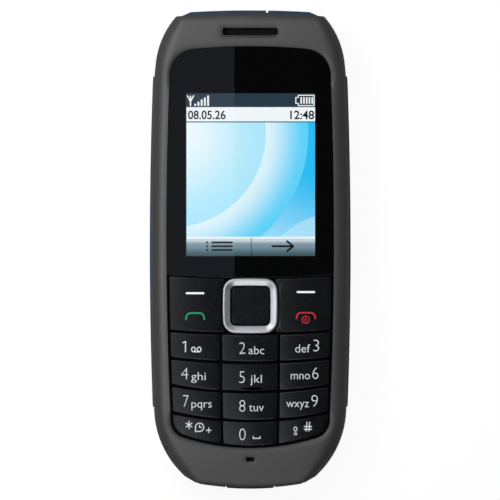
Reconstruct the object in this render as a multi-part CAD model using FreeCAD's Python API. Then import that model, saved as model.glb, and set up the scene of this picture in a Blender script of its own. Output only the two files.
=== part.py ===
"""Candybar feature phone with a clip-fastened back cover, modelled lying on its back.

X runs across the phone, Y towards the earpiece end and Z up out of the screen. The origin lies on the
back face, in the middle of the outline. All sizes are in millimetres.
"""

import FreeCAD
import Part
import math
import os

from FreeCAD import Vector

# Outline of the body
BODY_LENGTH = 107.1
BODY_WIDTH = 45.0
SIDE_STEP = 0.3
TOP_STEP = 0.8
BOTTOM_STEP = 0.4
TOP_END_RADIUS = 230.0
BOTTOM_END_RADIUS = 69.0
BOTTOM_CORNER_START = 12.3
BOTTOM_CORNER_ANGLE = 30.0

# Sides of the body: arcs that run on from each other, from the widest place towards both ends
TOP_SIDE_RADIUS = 1040.0
TOP_SIDE_END = 17.4
SHOULDER_RADIUS = 68.0
SHOULDER_LENGTH = 5.9
TOP_CORNER_RADIUS = 18.8
BOTTOM_SIDE_RADIUS = 926.0
BOTTOM_SIDE_END = 17.5
BOTTOM_CORNER_RADIUS = 20.8
CORNER_TURN = 45.0
CORNER_RUN = 9.0

# Stack of the layers, from the table up
COVER_WALL = 1.0
BATTERY_THICKNESS = 5.7
BAY_FLOOR = 0.6
SHIELD_HEIGHT = 1.2
BOARD_THICKNESS = 0.8
TRAY_FLOOR = 0.3
BACKLIGHT_THICKNESS = 1.0
PANEL_THICKNESS = 1.3
LEDGE_THICKNESS = 0.8
MASK_THICKNESS = 0.15
WINDOW_THICKNESS = 1.0
WINDOW_SINK = 0.15
SEAT = 0.1

# Front cover
FRONT_WALL = 1.6
FRONT_EDGE_ROUND = 3.2
END_EDGE_BEVEL = 0.45
TOP_ROLL_LENGTH = 7.4
TOP_ROLL_RADIUS = 30.0
BOTTOM_ROLL_LENGTH = 8.6
BOTTOM_ROLL_RADIUS = 40.0
SKIRT_LOW = 5.0

# Opening in the front for the window and the keypad
OPENING_TOP_BAND = 8.09
OPENING_BOTTOM_BAND = 9.17
OPENING_SIDE_BAND = 3.75
OPENING_WIDEST_AT = 3.0
OPENING_TOP_SAG = 1.27
OPENING_BOTTOM_SAG = 3.73
OPENING_SIDE_RADIUS = 900.0
OPENING_TOP_CORNER = 6.0
OPENING_BOTTOM_CORNER = 4.2
WINDOW_GAP = 0.12

# Ports in the face
EARPIECE_SLOT_WIDTH = 12.4
EARPIECE_SLOT_LENGTH = 1.65
EARPIECE_SLOT_CORNER = 0.5
EARPIECE_SLOT_FROM_END = 4.8
MIC_PORT_WIDTH = 1.9
MIC_PORT_LENGTH = 0.95
MIC_PORT_CORNER = 0.4
MIC_FROM_END = 6.68

# Display
VIEW_TOP_BAND = 10.51
VIEW_BOTTOM_BAND = 4.65
VIEW_SIDE_BAND = 4.25
VIEW_MARGIN = 0.6
PANEL_TOP_MARGIN = 4.15
PANEL_BOTTOM_MARGIN = 2.25
PANEL_SIDE_MARGIN = 1.5
GLASS_THICKNESS = 0.6
TRAY_WALL = 0.5
FLEX_WIDTH = 12.0
FLEX_THICKNESS = 0.2
FLEX_REACH = 1.9
FLEX_FOOT = 2.4
BOARD_PLUG_WIDTH = 13.0
BOARD_PLUG_HEIGHT = 0.8

# Keypad: each row gap is an arc sagging towards the bottom end
# It is given by the share of the opening's length below its middle, and by its sag across the opening
ROW_SHARES = (
    (0.42387, 0.65),
    (0.28418, 0.7),
    (0.2126, 1.1),
    (0.13903, 1.72),
    (0.06779, 2.12),
)
ROW_GAP_WIDTH = 0.4
COLUMN_SPREAD = 0.4
COLUMN_GAP_WIDTH = 0.4
COLUMN_PITCH_CUT = 0.15
KEY_MARGIN = 0.5
KEY_HEIGHT = 2.05
KEY_BEVEL = 0.2
MIDDLE_CROWN_RADIUS = 70.0
SIDE_CROWN_RADIUS = 60.0
KEY_TRAVEL = 0.25
MAT_CLEARANCE = 0.1
DOME_CLEARANCE = 0.05
NUB_SIZE = 1.5
NUB_HOLE_GAP = 0.3
FUNCTION_NUB_SPREAD = 3.6
RING_WRAP = 0.4
TACTILE_BAR_WIDTH = 3.2
TACTILE_BAR_LENGTH = 0.6
TACTILE_BAR_HEIGHT = 0.2
TACTILE_BAR_TO_GAP = 0.95

# Rubber mat and dome sheet under the keys
MAT_THICKNESS = 0.5
MAT_MARGIN = 0.6
MAT_SKIRT = 0.8
MAT_TO_TRAY = 0.6
FILM_THICKNESS = 0.15
DOME_SIZE = 3.1
DOME_CUT = 0.9
DOME_HEIGHT = 0.25

# Navigation ring, its carrier and the select key
RING_END_GAP = 0.075
RING_SIDE_GAP = 0.45
RING_TO_KEYS = 0.3
RING_BOW = 0.25
RING_CORNER = 2.8
RING_BAND = 1.7
RING_INNER_CORNER = 1.2
RING_INNER_BOW = 0.1
RING_HEIGHT = 1.55
RING_BEVEL = 0.2
RING_FLARE = 1.1
RING_FLARE_DEPTH = 0.5
CARRIER_INSET = 0.3
CARRIER_HEIGHT = 0.5
CARRIER_GAP = 0.25
NAVI_NUB_INSET = 1.1
NAVI_NUB_SIZE = 1.0
SELECT_GAP = 0.25
SELECT_SINK = 0.35

# Back cover
BASE_INSET = 0.05
COVER_SIDE_WALL = 1.25
COVER_LIP_WALL = 1.0
COVER_EDGE_ROUND = 3.5
COVER_END_ROUND = 2.0
COVER_INNER_BEVEL = 1.8
PART_GAP = 0.1
WING_TOP = 7.0
WING_FORE_FROM_END = 15.35
WING_AFT_FROM_END = 18.95
WING_SLOPE = 1.0
TOP_LIP_HEIGHT = 9.5
TOP_LIP_FROM_SIDE = 7.1
TOP_LIP_TAPER = 1.8
BOTTOM_LIP_HEIGHT = 8.0
BOTTOM_LIP_FROM_SIDE = 10.2
BOTTOM_LIP_TAPER = 1.0
NICK_X = 3.8
NICK_WIDTH = 0.5
NICK_DEPTH = 0.5
GROOVE_COUNT = 6
GROOVE_PITCH = 1.5
GROOVE_WIDTH = 0.75
GROOVE_DEPTH = 0.25
GROOVES_TO_AFT = 18.4
GRILLE_COUNT = 5
GRILLE_PITCH = 1.9
GRILLE_SLOT_WIDTH = 0.9
GRILLE_SLOT_LENGTH = 9.0

# Release button in the bottom lip
BUTTON_HALF_WIDTH = 5.25
BUTTON_PROUD = 0.15
BUTTON_THICKNESS = 1.1
BUTTON_GAP = 0.3
BUTTON_TRAVEL = 0.5

# Chassis with the battery bay
CHASSIS_GAP = 0.15
CHASSIS_BEVEL = 1.6
CHASSIS_RIM = 0.85
CHASSIS_LIFT = 0.3
BATTERY_FROM_SIDE = 5.5
BATTERY_FROM_END = 16.85
BATTERY_TO_SPEAKER = 8.2
BATTERY_CORNER = 2.0
BAY_GAP = 0.2

# Screws
TOP_SCREW_FROM_SIDE = 6.2
TOP_SCREW_FROM_END = 9.25
BOTTOM_SCREW_FROM_SIDE = 7.9
BOTTOM_SCREW_FROM_END = 7.55
SCREW_HEAD_RADIUS = 1.25
SCREW_HEAD_HEIGHT = 0.9
SCREW_SHANK_RADIUS = 0.7
SCREW_SEAT_WALL = 1.4
SCREW_BITE = 3.2
SCREW_GAP = 0.15
THREAD_GAP = 0.05
BOSS_RADIUS = 1.5
BOSS_GAP = 0.3

# Main board and the shield cans under it
BOARD_INSET = 2.2
SHIELD_WALL = 0.2
SHIELD_CORNER = 0.25
RADIO_WIDTH = 26.0
RADIO_LENGTH = 9.0
RADIO_FROM_END = 22.55
PROCESSOR_WIDTH = 30.0
PROCESSOR_FROM_END = 20.55
PROCESSOR_TO_HOLDER = 1.65

# Card holder over the battery bay
CARD_WIDTH = 15.0
CARD_LENGTH = 25.0
CARD_THICKNESS = 0.76
CARD_NOTCH = 3.0
CARD_GAP = 0.15
CARD_FROM_BATTERY_END = 14.7
HOLDER_WALL = 0.3
HOLDER_BRIDGE = 6.0

# Battery connector
CONNECTOR_FROM_SIDE = 8.0
CONNECTOR_WIDTH = 9.6
CONNECTOR_LENGTH = 4.4
CONNECTOR_HEIGHT = 5.4
CONTACT_COUNT = 3
CONTACT_PITCH = 2.9
CONTACT_WIDTH = 1.2
CONTACT_HEIGHT = 2.6
CONTACT_THICKNESS = 0.3
CONTACT_TAIL = 2.2
CONTACT_TRAVEL = 0.5
CONTACT_GAP = 0.05
CONTACT_SLOT_GAP = 0.15
TERMINAL_WIDTH = 1.9
TERMINAL_HEIGHT = 3.2
TERMINAL_DEPTH = 0.25

# Sound
EARPIECE_WIDTH = 13.0
EARPIECE_LENGTH = 6.0
EARPIECE_CORNER = 2.0
EARPIECE_FROM_END = 6.35
MESH_WIDTH = 13.4
MESH_LENGTH = 2.6
MESH_THICKNESS = 0.2
SPEAKER_WIDTH = 16.0
SPEAKER_LENGTH = 11.0
SPEAKER_HEIGHT = 3.0
SPEAKER_CORNER = 4.0
SPEAKER_RIM = 1.0
SPEAKER_CONE_DEPTH = 0.6
SPEAKER_FROM_END = 23.55
GASKET_THICKNESS = 0.5
MIC_WIDTH = 3.0
MIC_LENGTH = 2.0
MIC_HEIGHT = 1.1
MIC_HOLE_RADIUS = 0.5
BOOT_WALL = 0.5

# Sockets and torch in the top end
SOCKET_Z = 6.1
SOCKET_FACE_GAP = 0.3
POCKET_GAP = 0.1
SOCKET_FROM_SIDE = 12.3
AUDIO_WIDTH = 6.4
AUDIO_LENGTH = 13.0
AUDIO_BORE_RADIUS = 1.8
AUDIO_BORE_DEPTH = 12.0
AUDIO_PORT_RADIUS = 2.5
CHARGER_WIDTH = 4.6
CHARGER_LENGTH = 9.0
CHARGER_BORE_RADIUS = 1.15
CHARGER_BORE_DEPTH = 6.5
CHARGER_PIN_RADIUS = 0.25
CHARGER_PIN_LENGTH = 5.5
CHARGER_PORT_RADIUS = 1.9
TORCH_WIDTH = 5.6
TORCH_HEIGHT = 2.8
TORCH_LENGTH = 4.0
TORCH_CORNER = 0.8
LAMP_CARRIER_WIDTH = 2.6
LAMP_CARRIER_LENGTH = 1.6

# Vibration motor at the bottom end
MOTOR_X = 3.2
MOTOR_FROM_END = 10.55
MOTOR_Z = 4.0
MOTOR_RADIUS = 1.9
MOTOR_LENGTH = 7.5
MOTOR_BEARING_DEPTH = 2.0
SHAFT_RADIUS = 0.4
SHAFT_GAP = 0.05
WEIGHT_LENGTH = 3.0
WEIGHT_GAP = 0.4
MOTOR_ROOM = 0.3

# Antenna foil on the back of the chassis
ANTENNA_WIDTH = 24.0
ANTENNA_LENGTH = 6.0
ANTENNA_THICKNESS = 0.12
ANTENNA_RECESS = 0.15
ANTENNA_FROM_END = 10.55

# Keypad lamps on the board
LAMP_SIZE = 1.2
LAMP_HEIGHT = 0.6
LAMP_GAP = 0.2



def sagged_radius(sag):
    """The radius of an arc across the opening, from how far it falls at the opening's sides."""
    half = BODY_WIDTH / 2 - OPENING_SIDE_BAND
    return (half**2 + sag**2) / (2 * sag)


# Places worked out from the body, then levels worked out from the stack
HALF_LENGTH = BODY_LENGTH / 2
TOP_END = HALF_LENGTH - TOP_STEP
BOTTOM_END = BOTTOM_STEP - HALF_LENGTH
FRONT_HALF_WIDTH = BODY_WIDTH / 2 - SIDE_STEP
OPENING_TOP = HALF_LENGTH - OPENING_TOP_BAND
OPENING_BOTTOM = OPENING_BOTTOM_BAND - HALF_LENGTH
OPENING_LENGTH = OPENING_TOP - OPENING_BOTTOM
OPENING_HALF_WIDTH = BODY_WIDTH / 2 - OPENING_SIDE_BAND
OPENING_TOP_RADIUS = sagged_radius(OPENING_TOP_SAG)
OPENING_BOTTOM_RADIUS = sagged_radius(OPENING_BOTTOM_SAG)
ROW_GAPS = tuple((OPENING_BOTTOM + share * OPENING_LENGTH, sagged_radius(sag)) for share, sag in ROW_SHARES)
COLUMN_GAP_BOTTOM = OPENING_HALF_WIDTH / 3
COLUMN_GAP_TOP = COLUMN_GAP_BOTTOM + COLUMN_SPREAD
COLUMN_PITCH = 2 * COLUMN_GAP_BOTTOM - COLUMN_PITCH_CUT
LAMP_X = COLUMN_PITCH / 2
RING_Y = (ROW_GAPS[0][0] + ROW_GAPS[1][0]) / 2
RING_LENGTH = ROW_GAPS[0][0] - ROW_GAPS[1][0] - 2 * RING_END_GAP
RING_WIDTH = 2 * (COLUMN_GAP_TOP - RING_SIDE_GAP)
FUNCTION_KEY_START = RING_WIDTH / 2 - RING_WRAP
VIEW_TOP = OPENING_TOP - VIEW_TOP_BAND
VIEW_BOTTOM = ROW_GAPS[0][0] + VIEW_BOTTOM_BAND
VIEW_WIDTH = 2 * (OPENING_HALF_WIDTH - VIEW_SIDE_BAND)
VIEW_LENGTH = VIEW_TOP - VIEW_BOTTOM
VIEW_Y = (VIEW_TOP + VIEW_BOTTOM) / 2
PANEL_WIDTH = VIEW_WIDTH + 2 * PANEL_SIDE_MARGIN
PANEL_LENGTH = VIEW_LENGTH + PANEL_TOP_MARGIN + PANEL_BOTTOM_MARGIN
PANEL_Y = VIEW_Y + (PANEL_TOP_MARGIN - PANEL_BOTTOM_MARGIN) / 2
EARPIECE_SLOT_Y = HALF_LENGTH - EARPIECE_SLOT_FROM_END
EARPIECE_Y = HALF_LENGTH - EARPIECE_FROM_END
MIC_Y = MIC_FROM_END - HALF_LENGTH
MOTOR_Y = MOTOR_FROM_END - HALF_LENGTH
ANTENNA_Y = HALF_LENGTH - ANTENNA_FROM_END
SPEAKER_Y = HALF_LENGTH - SPEAKER_FROM_END
RADIO_Y = HALF_LENGTH - RADIO_FROM_END
CHARGER_X = BODY_WIDTH / 2 - SOCKET_FROM_SIDE
AUDIO_X = -CHARGER_X
WING_FORE = HALF_LENGTH - WING_FORE_FROM_END
WING_AFT = WING_AFT_FROM_END - HALF_LENGTH
GROOVE_START = WING_AFT + GROOVES_TO_AFT
TOP_LIP_HALF_WIDTH = BODY_WIDTH / 2 - TOP_LIP_FROM_SIDE
BOTTOM_LIP_HALF_WIDTH = BODY_WIDTH / 2 - BOTTOM_LIP_FROM_SIDE
BATTERY_WIDTH = BODY_WIDTH - 2 * BATTERY_FROM_SIDE
BATTERY_START = BATTERY_FROM_END - HALF_LENGTH
BATTERY_END = SPEAKER_Y - SPEAKER_LENGTH / 2 - BATTERY_TO_SPEAKER
BATTERY_LENGTH = BATTERY_END - BATTERY_START
BATTERY_Y = (BATTERY_START + BATTERY_END) / 2
CONNECTOR_X = CONNECTOR_FROM_SIDE - BATTERY_WIDTH / 2
CARD_Y = BATTERY_END - CARD_FROM_BATTERY_END
HOLDER_WIDTH = CARD_WIDTH + 2 * CARD_GAP + 2 * HOLDER_WALL
HOLDER_LENGTH = CARD_LENGTH + 2 * CARD_GAP + 2 * HOLDER_WALL
PROCESSOR_START = PROCESSOR_FROM_END - HALF_LENGTH
PROCESSOR_END = CARD_Y - HOLDER_LENGTH / 2 - PROCESSOR_TO_HOLDER
PROCESSOR_LENGTH = PROCESSOR_END - PROCESSOR_START
PROCESSOR_Y = (PROCESSOR_START + PROCESSOR_END) / 2
BATTERY_LOW = COVER_WALL + SEAT
BATTERY_HIGH = BATTERY_LOW + BATTERY_THICKNESS
BAY_TOP = BATTERY_HIGH + SEAT
CHASSIS_LOW = COVER_WALL + CHASSIS_LIFT
CHASSIS_TOP = BAY_TOP + BAY_FLOOR
SHIELD_LOW = CHASSIS_TOP + SEAT
BOARD_LOW = SHIELD_LOW + SHIELD_HEIGHT
BOARD_HIGH = BOARD_LOW + BOARD_THICKNESS
TRAY_LOW = BOARD_HIGH + SEAT
LIGHT_LOW = TRAY_LOW + TRAY_FLOOR
PANEL_LOW = LIGHT_LOW + BACKLIGHT_THICKNESS
PANEL_HIGH = PANEL_LOW + PANEL_THICKNESS
CEILING = PANEL_HIGH + SEAT
LEDGE_TOP = CEILING + LEDGE_THICKNESS
WINDOW_LOW = LEDGE_TOP + MASK_THICKNESS
WINDOW_HIGH = WINDOW_LOW + WINDOW_THICKNESS
RIM_TOP = WINDOW_HIGH + WINDOW_SINK
MAT_HIGH = CEILING - SEAT
MAT_LOW = MAT_HIGH - MAT_THICKNESS
KEY_LOW = MAT_HIGH + KEY_TRAVEL + MAT_CLEARANCE
KEY_TOP = KEY_LOW + KEY_HEIGHT
FILM_HIGH = BOARD_HIGH + FILM_THICKNESS
DOME_HIGH = FILM_HIGH + DOME_HEIGHT
NUB_LOW = DOME_HIGH + KEY_TRAVEL + DOME_CLEARANCE
CARRIER_HIGH = KEY_LOW + CARRIER_HEIGHT
RING_LOW = CARRIER_HIGH + CARRIER_GAP
RING_HIGH = RING_LOW + RING_HEIGHT
CHASSIS_INSET = FRONT_WALL + CHASSIS_GAP
BAY_END = BATTERY_END + BAY_GAP
CONTACT_FACE = BATTERY_END + CONTACT_GAP
CONNECTOR_FACE = CONTACT_FACE + CONTACT_THICKNESS + CONTACT_TRAVEL + CONTACT_SLOT_GAP
CONTACT_Z = BATTERY_LOW + BATTERY_THICKNESS / 2
SOCKET_LOW = 2 * SOCKET_Z - BOARD_LOW
SEAT_Z = CHASSIS_TOP - SCREW_SEAT_WALL
SCREW_PLACES = (
    (BODY_WIDTH / 2 - TOP_SCREW_FROM_SIDE, HALF_LENGTH - TOP_SCREW_FROM_END),
    (BODY_WIDTH / 2 - BOTTOM_SCREW_FROM_SIDE, BOTTOM_SCREW_FROM_END - HALF_LENGTH),
)
BOSS_NOTCH = 2 * (BOSS_RADIUS + BOSS_GAP)
LAST_EDGE = (OPENING_BOTTOM + KEY_MARGIN, OPENING_BOTTOM_RADIUS)
ROW_EDGES = ROW_GAPS + (LAST_EDGE,)
WIDE = 2 * BODY_WIDTH


def block(x, y, z):
    """A box from its low and high values along each axis."""
    return Part.makeBox(x[1] - x[0], y[1] - y[0], z[1] - z[0], Vector(x[0], y[0], z[0]))


def centred_block(width, length, x, y, z):
    """A box by its width and length about a middle point, between two heights."""
    return block((x - width / 2, x + width / 2), (y - length / 2, y + length / 2), z)


def edges_along_z(shape):
    """The straight upright edges of a shape."""
    return [
        edge
        for edge in shape.Edges
        if edge.BoundBox.ZLength > edge.BoundBox.XLength + edge.BoundBox.YLength
    ]


def plate(width, length, x, y, z, corner):
    """A box with its four upright edges rounded."""
    box = centred_block(width, length, x, y, z)
    return box.makeFillet(corner, edges_along_z(box))


def cut_corner_plate(width, length, x, y, z, corner):
    """A box with its four upright edges cut off."""
    box = centred_block(width, length, x, y, z)
    return box.makeChamfer(corner, edges_along_z(box))


def upright_rod(radius, x, y, z):
    """A round bar along Z between two heights."""
    return Part.makeCylinder(radius, z[1] - z[0], Vector(x, y, z[0]))


def rod_along_y(radius, x, z, y):
    """A round bar along Y between two places."""
    return Part.makeCylinder(radius, y[1] - y[0], Vector(x, y[0], z), Vector(0, 1, 0))


def rod_along_x(radius, y, z, x):
    """A round bar along X between two places."""
    return Part.makeCylinder(radius, x[1] - x[0], Vector(x[0], y, z), Vector(1, 0, 0))


def prism(edges, low, high):
    """The upright solid over a closed outline that is drawn at height zero."""
    face = Part.Face(Part.Wire(Part.__sortEdges__(edges)))
    face.translate(Vector(0, 0, low))
    return face.extrude(Vector(0, 0, high - low))


def polygon_prism(points, low, high):
    """The upright solid over a closed outline with straight sides."""
    corners = [Vector(x, y, 0) for x, y in points]
    edges = [Part.makeLine(corner, corners[index - 1]) for index, corner in enumerate(corners)]
    return prism(edges, low, high)


def mirrored(shape):
    """The mirror image of a shape across the middle plane."""
    return shape.mirror(Vector(0, 0, 0), Vector(1, 0, 0))


def cut_all(shape, tools):
    """A shape with several tools cut away."""
    return shape.cut(list(tools))


def fuse_all(shapes):
    """Several shapes joined into one."""
    return shapes[0].multiFuse(shapes[1:]).removeSplitter()


def side_run(arcs, offset, way, side):
    """One side from its widest place towards one end: arcs that run on from each other, then a line.

    Each arc is given by its radius and the turn at its end. The run's last point comes with its edges.
    """
    centre = Vector(FRONT_HALF_WIDTH - arcs[0][0], 0, 0)
    turned = 0.0
    edges = []
    for index, (radius, turn) in enumerate(arcs):
        if index:
            previous = arcs[index - 1][0]
            centre += Vector(math.cos(turned), math.sin(turned), 0) * (previous - radius)
        points = []
        for angle in (turned, (turned + turn) / 2, turn):
            point = centre + Vector(math.cos(angle), math.sin(angle), 0) * (radius + offset)
            points.append(Vector(side * point.x, way * point.y, 0))
        edges.append(Part.Arc(*points).toShape())
        turned = turn
    end = points[-1] + Vector(-side * math.sin(turned), way * math.cos(turned), 0) * CORNER_RUN
    edges.append(Part.makeLine(points[-1], end))
    return edges, end


def side_prism(offset, low, high):
    """The prism between both sides of the outline, moved outwards by an offset, running past the ends."""
    top_turn = (HALF_LENGTH - TOP_SIDE_END) / TOP_SIDE_RADIUS
    bottom_turn = (HALF_LENGTH - BOTTOM_SIDE_END) / BOTTOM_SIDE_RADIUS
    corner_turn = math.radians(CORNER_TURN)
    shoulder_turn = top_turn + SHOULDER_LENGTH / SHOULDER_RADIUS
    top_arcs = (
        (TOP_SIDE_RADIUS, top_turn),
        (SHOULDER_RADIUS, shoulder_turn),
        (TOP_CORNER_RADIUS, corner_turn),
    )
    bottom_arcs = ((BOTTOM_SIDE_RADIUS, bottom_turn), (BOTTOM_CORNER_RADIUS, corner_turn))
    edges = []
    for arcs, way in ((top_arcs, 1), (bottom_arcs, -1)):
        for side in (1, -1):
            run, end = side_run(arcs, offset, way, side)
            edges += run
        edges.append(Part.makeLine(end, Vector(-end.x, end.y, 0)))
    return prism(edges, low, high)


def arc_drop(radius, x):
    """How far an arc has fallen from its middle at a distance across."""
    return radius - math.sqrt(radius**2 - x**2)


def arc_across(middle, radius, half_width, drop_sign):
    """An arc across the phone through its middle, with ends further up or down the phone."""
    end = middle + drop_sign * arc_drop(radius, half_width)
    return Part.Arc(Vector(-half_width, end, 0), Vector(0, middle, 0), Vector(half_width, end, 0)).toShape()


def end_prism(top_offset, bottom_offset, low, high):
    """The prism that trims the body at both ends, much wider than the body."""
    top = arc_across(TOP_END + top_offset, TOP_END_RADIUS + top_offset, BODY_WIDTH, -1)
    bottom = arc_across(BOTTOM_END - bottom_offset, BOTTOM_END_RADIUS + bottom_offset, BOTTOM_CORNER_START, 1)
    corner_y = bottom.Vertexes[0].Point.y
    outer_y = corner_y + (BODY_WIDTH - BOTTOM_CORNER_START) * math.tan(math.radians(BOTTOM_CORNER_ANGLE))
    edges = [top, bottom]
    for side in (-BODY_WIDTH, BODY_WIDTH):
        corner = Vector(math.copysign(BOTTOM_CORNER_START, side), corner_y, 0)
        outer = Vector(side, outer_y, 0)
        edges.append(Part.makeLine(corner, outer))
        edges.append(Part.makeLine(outer, Vector(side, top.Vertexes[0].Point.y, 0)))
    return prism(edges, low, high)


def body_prism(offset, low, high):
    """The prism over the whole outline of the front cover, moved outwards by an offset."""
    return side_prism(offset, low, high).common(end_prism(offset, offset, low, high))


def edges_at(shape, height):
    """The level edges of a prism at one height."""
    return [
        edge
        for edge in shape.Edges
        if edge.BoundBox.ZLength < SEAT and abs(edge.CenterOfMass.z - height) < SEAT
    ]


def side_edges(shape, height):
    """The edges down both sides of a side prism, without the lines that close it across the middle."""
    return [edge for edge in edges_at(shape, height) if edge.BoundBox.XMin * edge.BoundBox.XMax > 0]


def end_edges(shape, height):
    """The edges across the ends of an end prism, without the lines down its far sides."""
    return [edge for edge in edges_at(shape, height) if edge.BoundBox.XLength > SEAT]


def round_under(sides, ends, low, side_round, end_round):
    """What a side prism and an end prism share, with their lower edges rounded."""
    rounded_sides = sides.makeFillet(side_round, side_edges(sides, low))
    rounded_ends = ends.makeFillet(end_round, end_edges(ends, low))
    return rounded_sides.common(rounded_ends)


def bevel_under(offset, low, high, bevel):
    """The prism over the whole outline, moved by an offset, with its lower edges bevelled."""
    sides = side_prism(offset, low, high)
    ends = end_prism(offset, offset, low, high)
    bevelled_sides = sides.makeChamfer(bevel, side_edges(sides, low))
    return bevelled_sides.common(ends.makeChamfer(bevel / 2, end_edges(ends, low)))


def opening_prism(offset, low, high):
    """The prism over the opening for window and keypad, moved outwards by an offset."""
    half_width = OPENING_HALF_WIDTH + offset
    side_radius = OPENING_SIDE_RADIUS + offset
    top = arc_across(OPENING_TOP + offset, OPENING_TOP_RADIUS + offset, BODY_WIDTH / 2, -1)
    bottom = arc_across(OPENING_BOTTOM - offset, OPENING_BOTTOM_RADIUS + offset, BODY_WIDTH / 2, 1)
    top_y = top.Vertexes[0].Point.y
    bottom_y = bottom.Vertexes[0].Point.y
    uprights = [
        Part.makeLine(Vector(side, top_y, 0), Vector(side, bottom_y, 0))
        for side in (-BODY_WIDTH / 2, BODY_WIDTH / 2)
    ]
    slab = prism([top, bottom] + uprights, low, high)
    right = upright_rod(side_radius, half_width - side_radius, OPENING_WIDEST_AT, (low, high))
    shape = slab.common(right).common(mirrored(right))
    upper = [edge for edge in edges_along_z(shape) if edge.CenterOfMass.y > 0]
    shape = shape.makeFillet(OPENING_TOP_CORNER + offset, upper)
    lower = [edge for edge in edges_along_z(shape) if edge.CenterOfMass.y < 0]
    return shape.makeFillet(OPENING_BOTTOM_CORNER + offset, lower)


def above_row(row, offset, low, high):
    """The space on the earpiece side of a row gap's middle line, moved by an offset."""
    middle, radius = ROW_GAPS[row]
    return upright_rod(radius + offset, 0, middle + radius, (low, high))


def row_edge_at(row, x):
    """Where a row gap's middle line lies at a distance across."""
    middle, radius = ROW_EDGES[row]
    return middle + arc_drop(radius, x)


def row_middle(row, x):
    """The middle of a row of keys at a distance across."""
    return (row_edge_at(row, x) + row_edge_at(row + 1, x)) / 2


def roll_point(start, reach, radius, share):
    """A point of an end's roll, given by the share of its reach that lies behind it."""
    distance = reach * share
    return Vector(-WIDE, start + distance, RIM_TOP - arc_drop(radius, distance))


def end_roll(start, reach, radius):
    """The arc along which the front face rolls down towards one end."""
    points = [roll_point(start, reach, radius, share) for share in (0, 0.5, 1)]
    return Part.Arc(*points).toShape()


def rolled_slab():
    """The space under the front face, flat in the middle and rolling down towards both ends."""
    top_start = HALF_LENGTH - TOP_ROLL_LENGTH
    top_reach = TOP_ROLL_LENGTH + BOTTOM_STEP
    bottom_start = BOTTOM_ROLL_LENGTH - HALF_LENGTH
    bottom_reach = -BOTTOM_ROLL_LENGTH - BOTTOM_STEP
    top_roll = end_roll(top_start, top_reach, TOP_ROLL_RADIUS)
    bottom_roll = end_roll(bottom_start, bottom_reach, BOTTOM_ROLL_RADIUS)
    corners = [
        roll_point(top_start, top_reach, TOP_ROLL_RADIUS, 1),
        Vector(-WIDE, top_start + top_reach, 0),
        Vector(-WIDE, bottom_start + bottom_reach, 0),
        roll_point(bottom_start, bottom_reach, BOTTOM_ROLL_RADIUS, 1),
    ]
    edges = [Part.makeLine(start, end) for start, end in zip(corners, corners[1:])]
    edges.append(Part.makeLine(Vector(-WIDE, bottom_start, RIM_TOP), Vector(-WIDE, top_start, RIM_TOP)))
    face = Part.Face(Part.Wire(Part.__sortEdges__(edges + [top_roll, bottom_roll])))
    return face.extrude(Vector(2 * WIDE, 0, 0))


def front_form():
    """The front cover as a solid block: rounded along the sides, rolling down at the ends."""
    sides = side_prism(0, SKIRT_LOW, RIM_TOP)
    sides = sides.makeFillet(FRONT_EDGE_ROUND, side_edges(sides, RIM_TOP))
    ends = end_prism(0, 0, SKIRT_LOW, RIM_TOP).common(rolled_slab())
    upper_edges = [
        edge
        for edge in ends.Edges
        if RIM_TOP - FRONT_EDGE_ROUND < edge.BoundBox.ZMin < RIM_TOP - SEAT
        and edge.BoundBox.XLength > SEAT
        and edge.BoundBox.XLength > edge.BoundBox.ZLength
    ]
    return sides.common(ends.makeChamfer(END_EDGE_BEVEL, upper_edges))


def wing_band(gap, low, high):
    """The band across the phone that the cover's side wings fill, with sloping ends."""
    slope = WING_SLOPE
    outline = [
        Vector(-WIDE, WING_AFT - slope - gap, low),
        Vector(-WIDE, WING_AFT - gap, high),
        Vector(-WIDE, WING_FORE + gap, high),
        Vector(-WIDE, WING_FORE + slope + gap, low),
    ]
    face = Part.Face(Part.makePolygon(outline + outline[:1]))
    return face.extrude(Vector(2 * WIDE, 0, 0))


def lip_room(gap):
    """The space at both ends of the front cover's skirt that the cover's lips fill."""
    top = block(
        (-TOP_LIP_HALF_WIDTH - gap, TOP_LIP_HALF_WIDTH + gap),
        (OPENING_TOP, BODY_LENGTH),
        (0, TOP_LIP_HEIGHT),
    )
    bottom = block(
        (-BOTTOM_LIP_HALF_WIDTH - gap, BOTTOM_LIP_HALF_WIDTH + gap),
        (-BODY_LENGTH, OPENING_BOTTOM),
        (0, BOTTOM_LIP_HEIGHT),
    )
    return [top, bottom]


def lip_slants(high):
    """The corners cut off the lips, so that their ends run slantwise into the front cover's outline."""
    top_y = TOP_END - arc_drop(TOP_END_RADIUS, TOP_LIP_HALF_WIDTH)
    bottom_y = BOTTOM_END + arc_drop(BOTTOM_END_RADIUS, BOTTOM_LIP_HALF_WIDTH)
    ends = (
        (TOP_LIP_HALF_WIDTH, top_y, TOP_LIP_TAPER, TOP_STEP),
        (BOTTOM_LIP_HALF_WIDTH, bottom_y, BOTTOM_LIP_TAPER, -BOTTOM_STEP),
    )
    slants = []
    for half, y, taper, step in ends:
        outer = y + 3 * step
        corner = polygon_prism([(half, y), (WIDE, y), (WIDE, outer), (half - 3 * taper, outer)], 0, high)
        slants += [corner, mirrored(corner)]
    return slants


def each_screw():
    """The places of the cover screws on both sides."""
    return [(side * x, y) for x, y in SCREW_PLACES for side in (-1, 1)]


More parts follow.
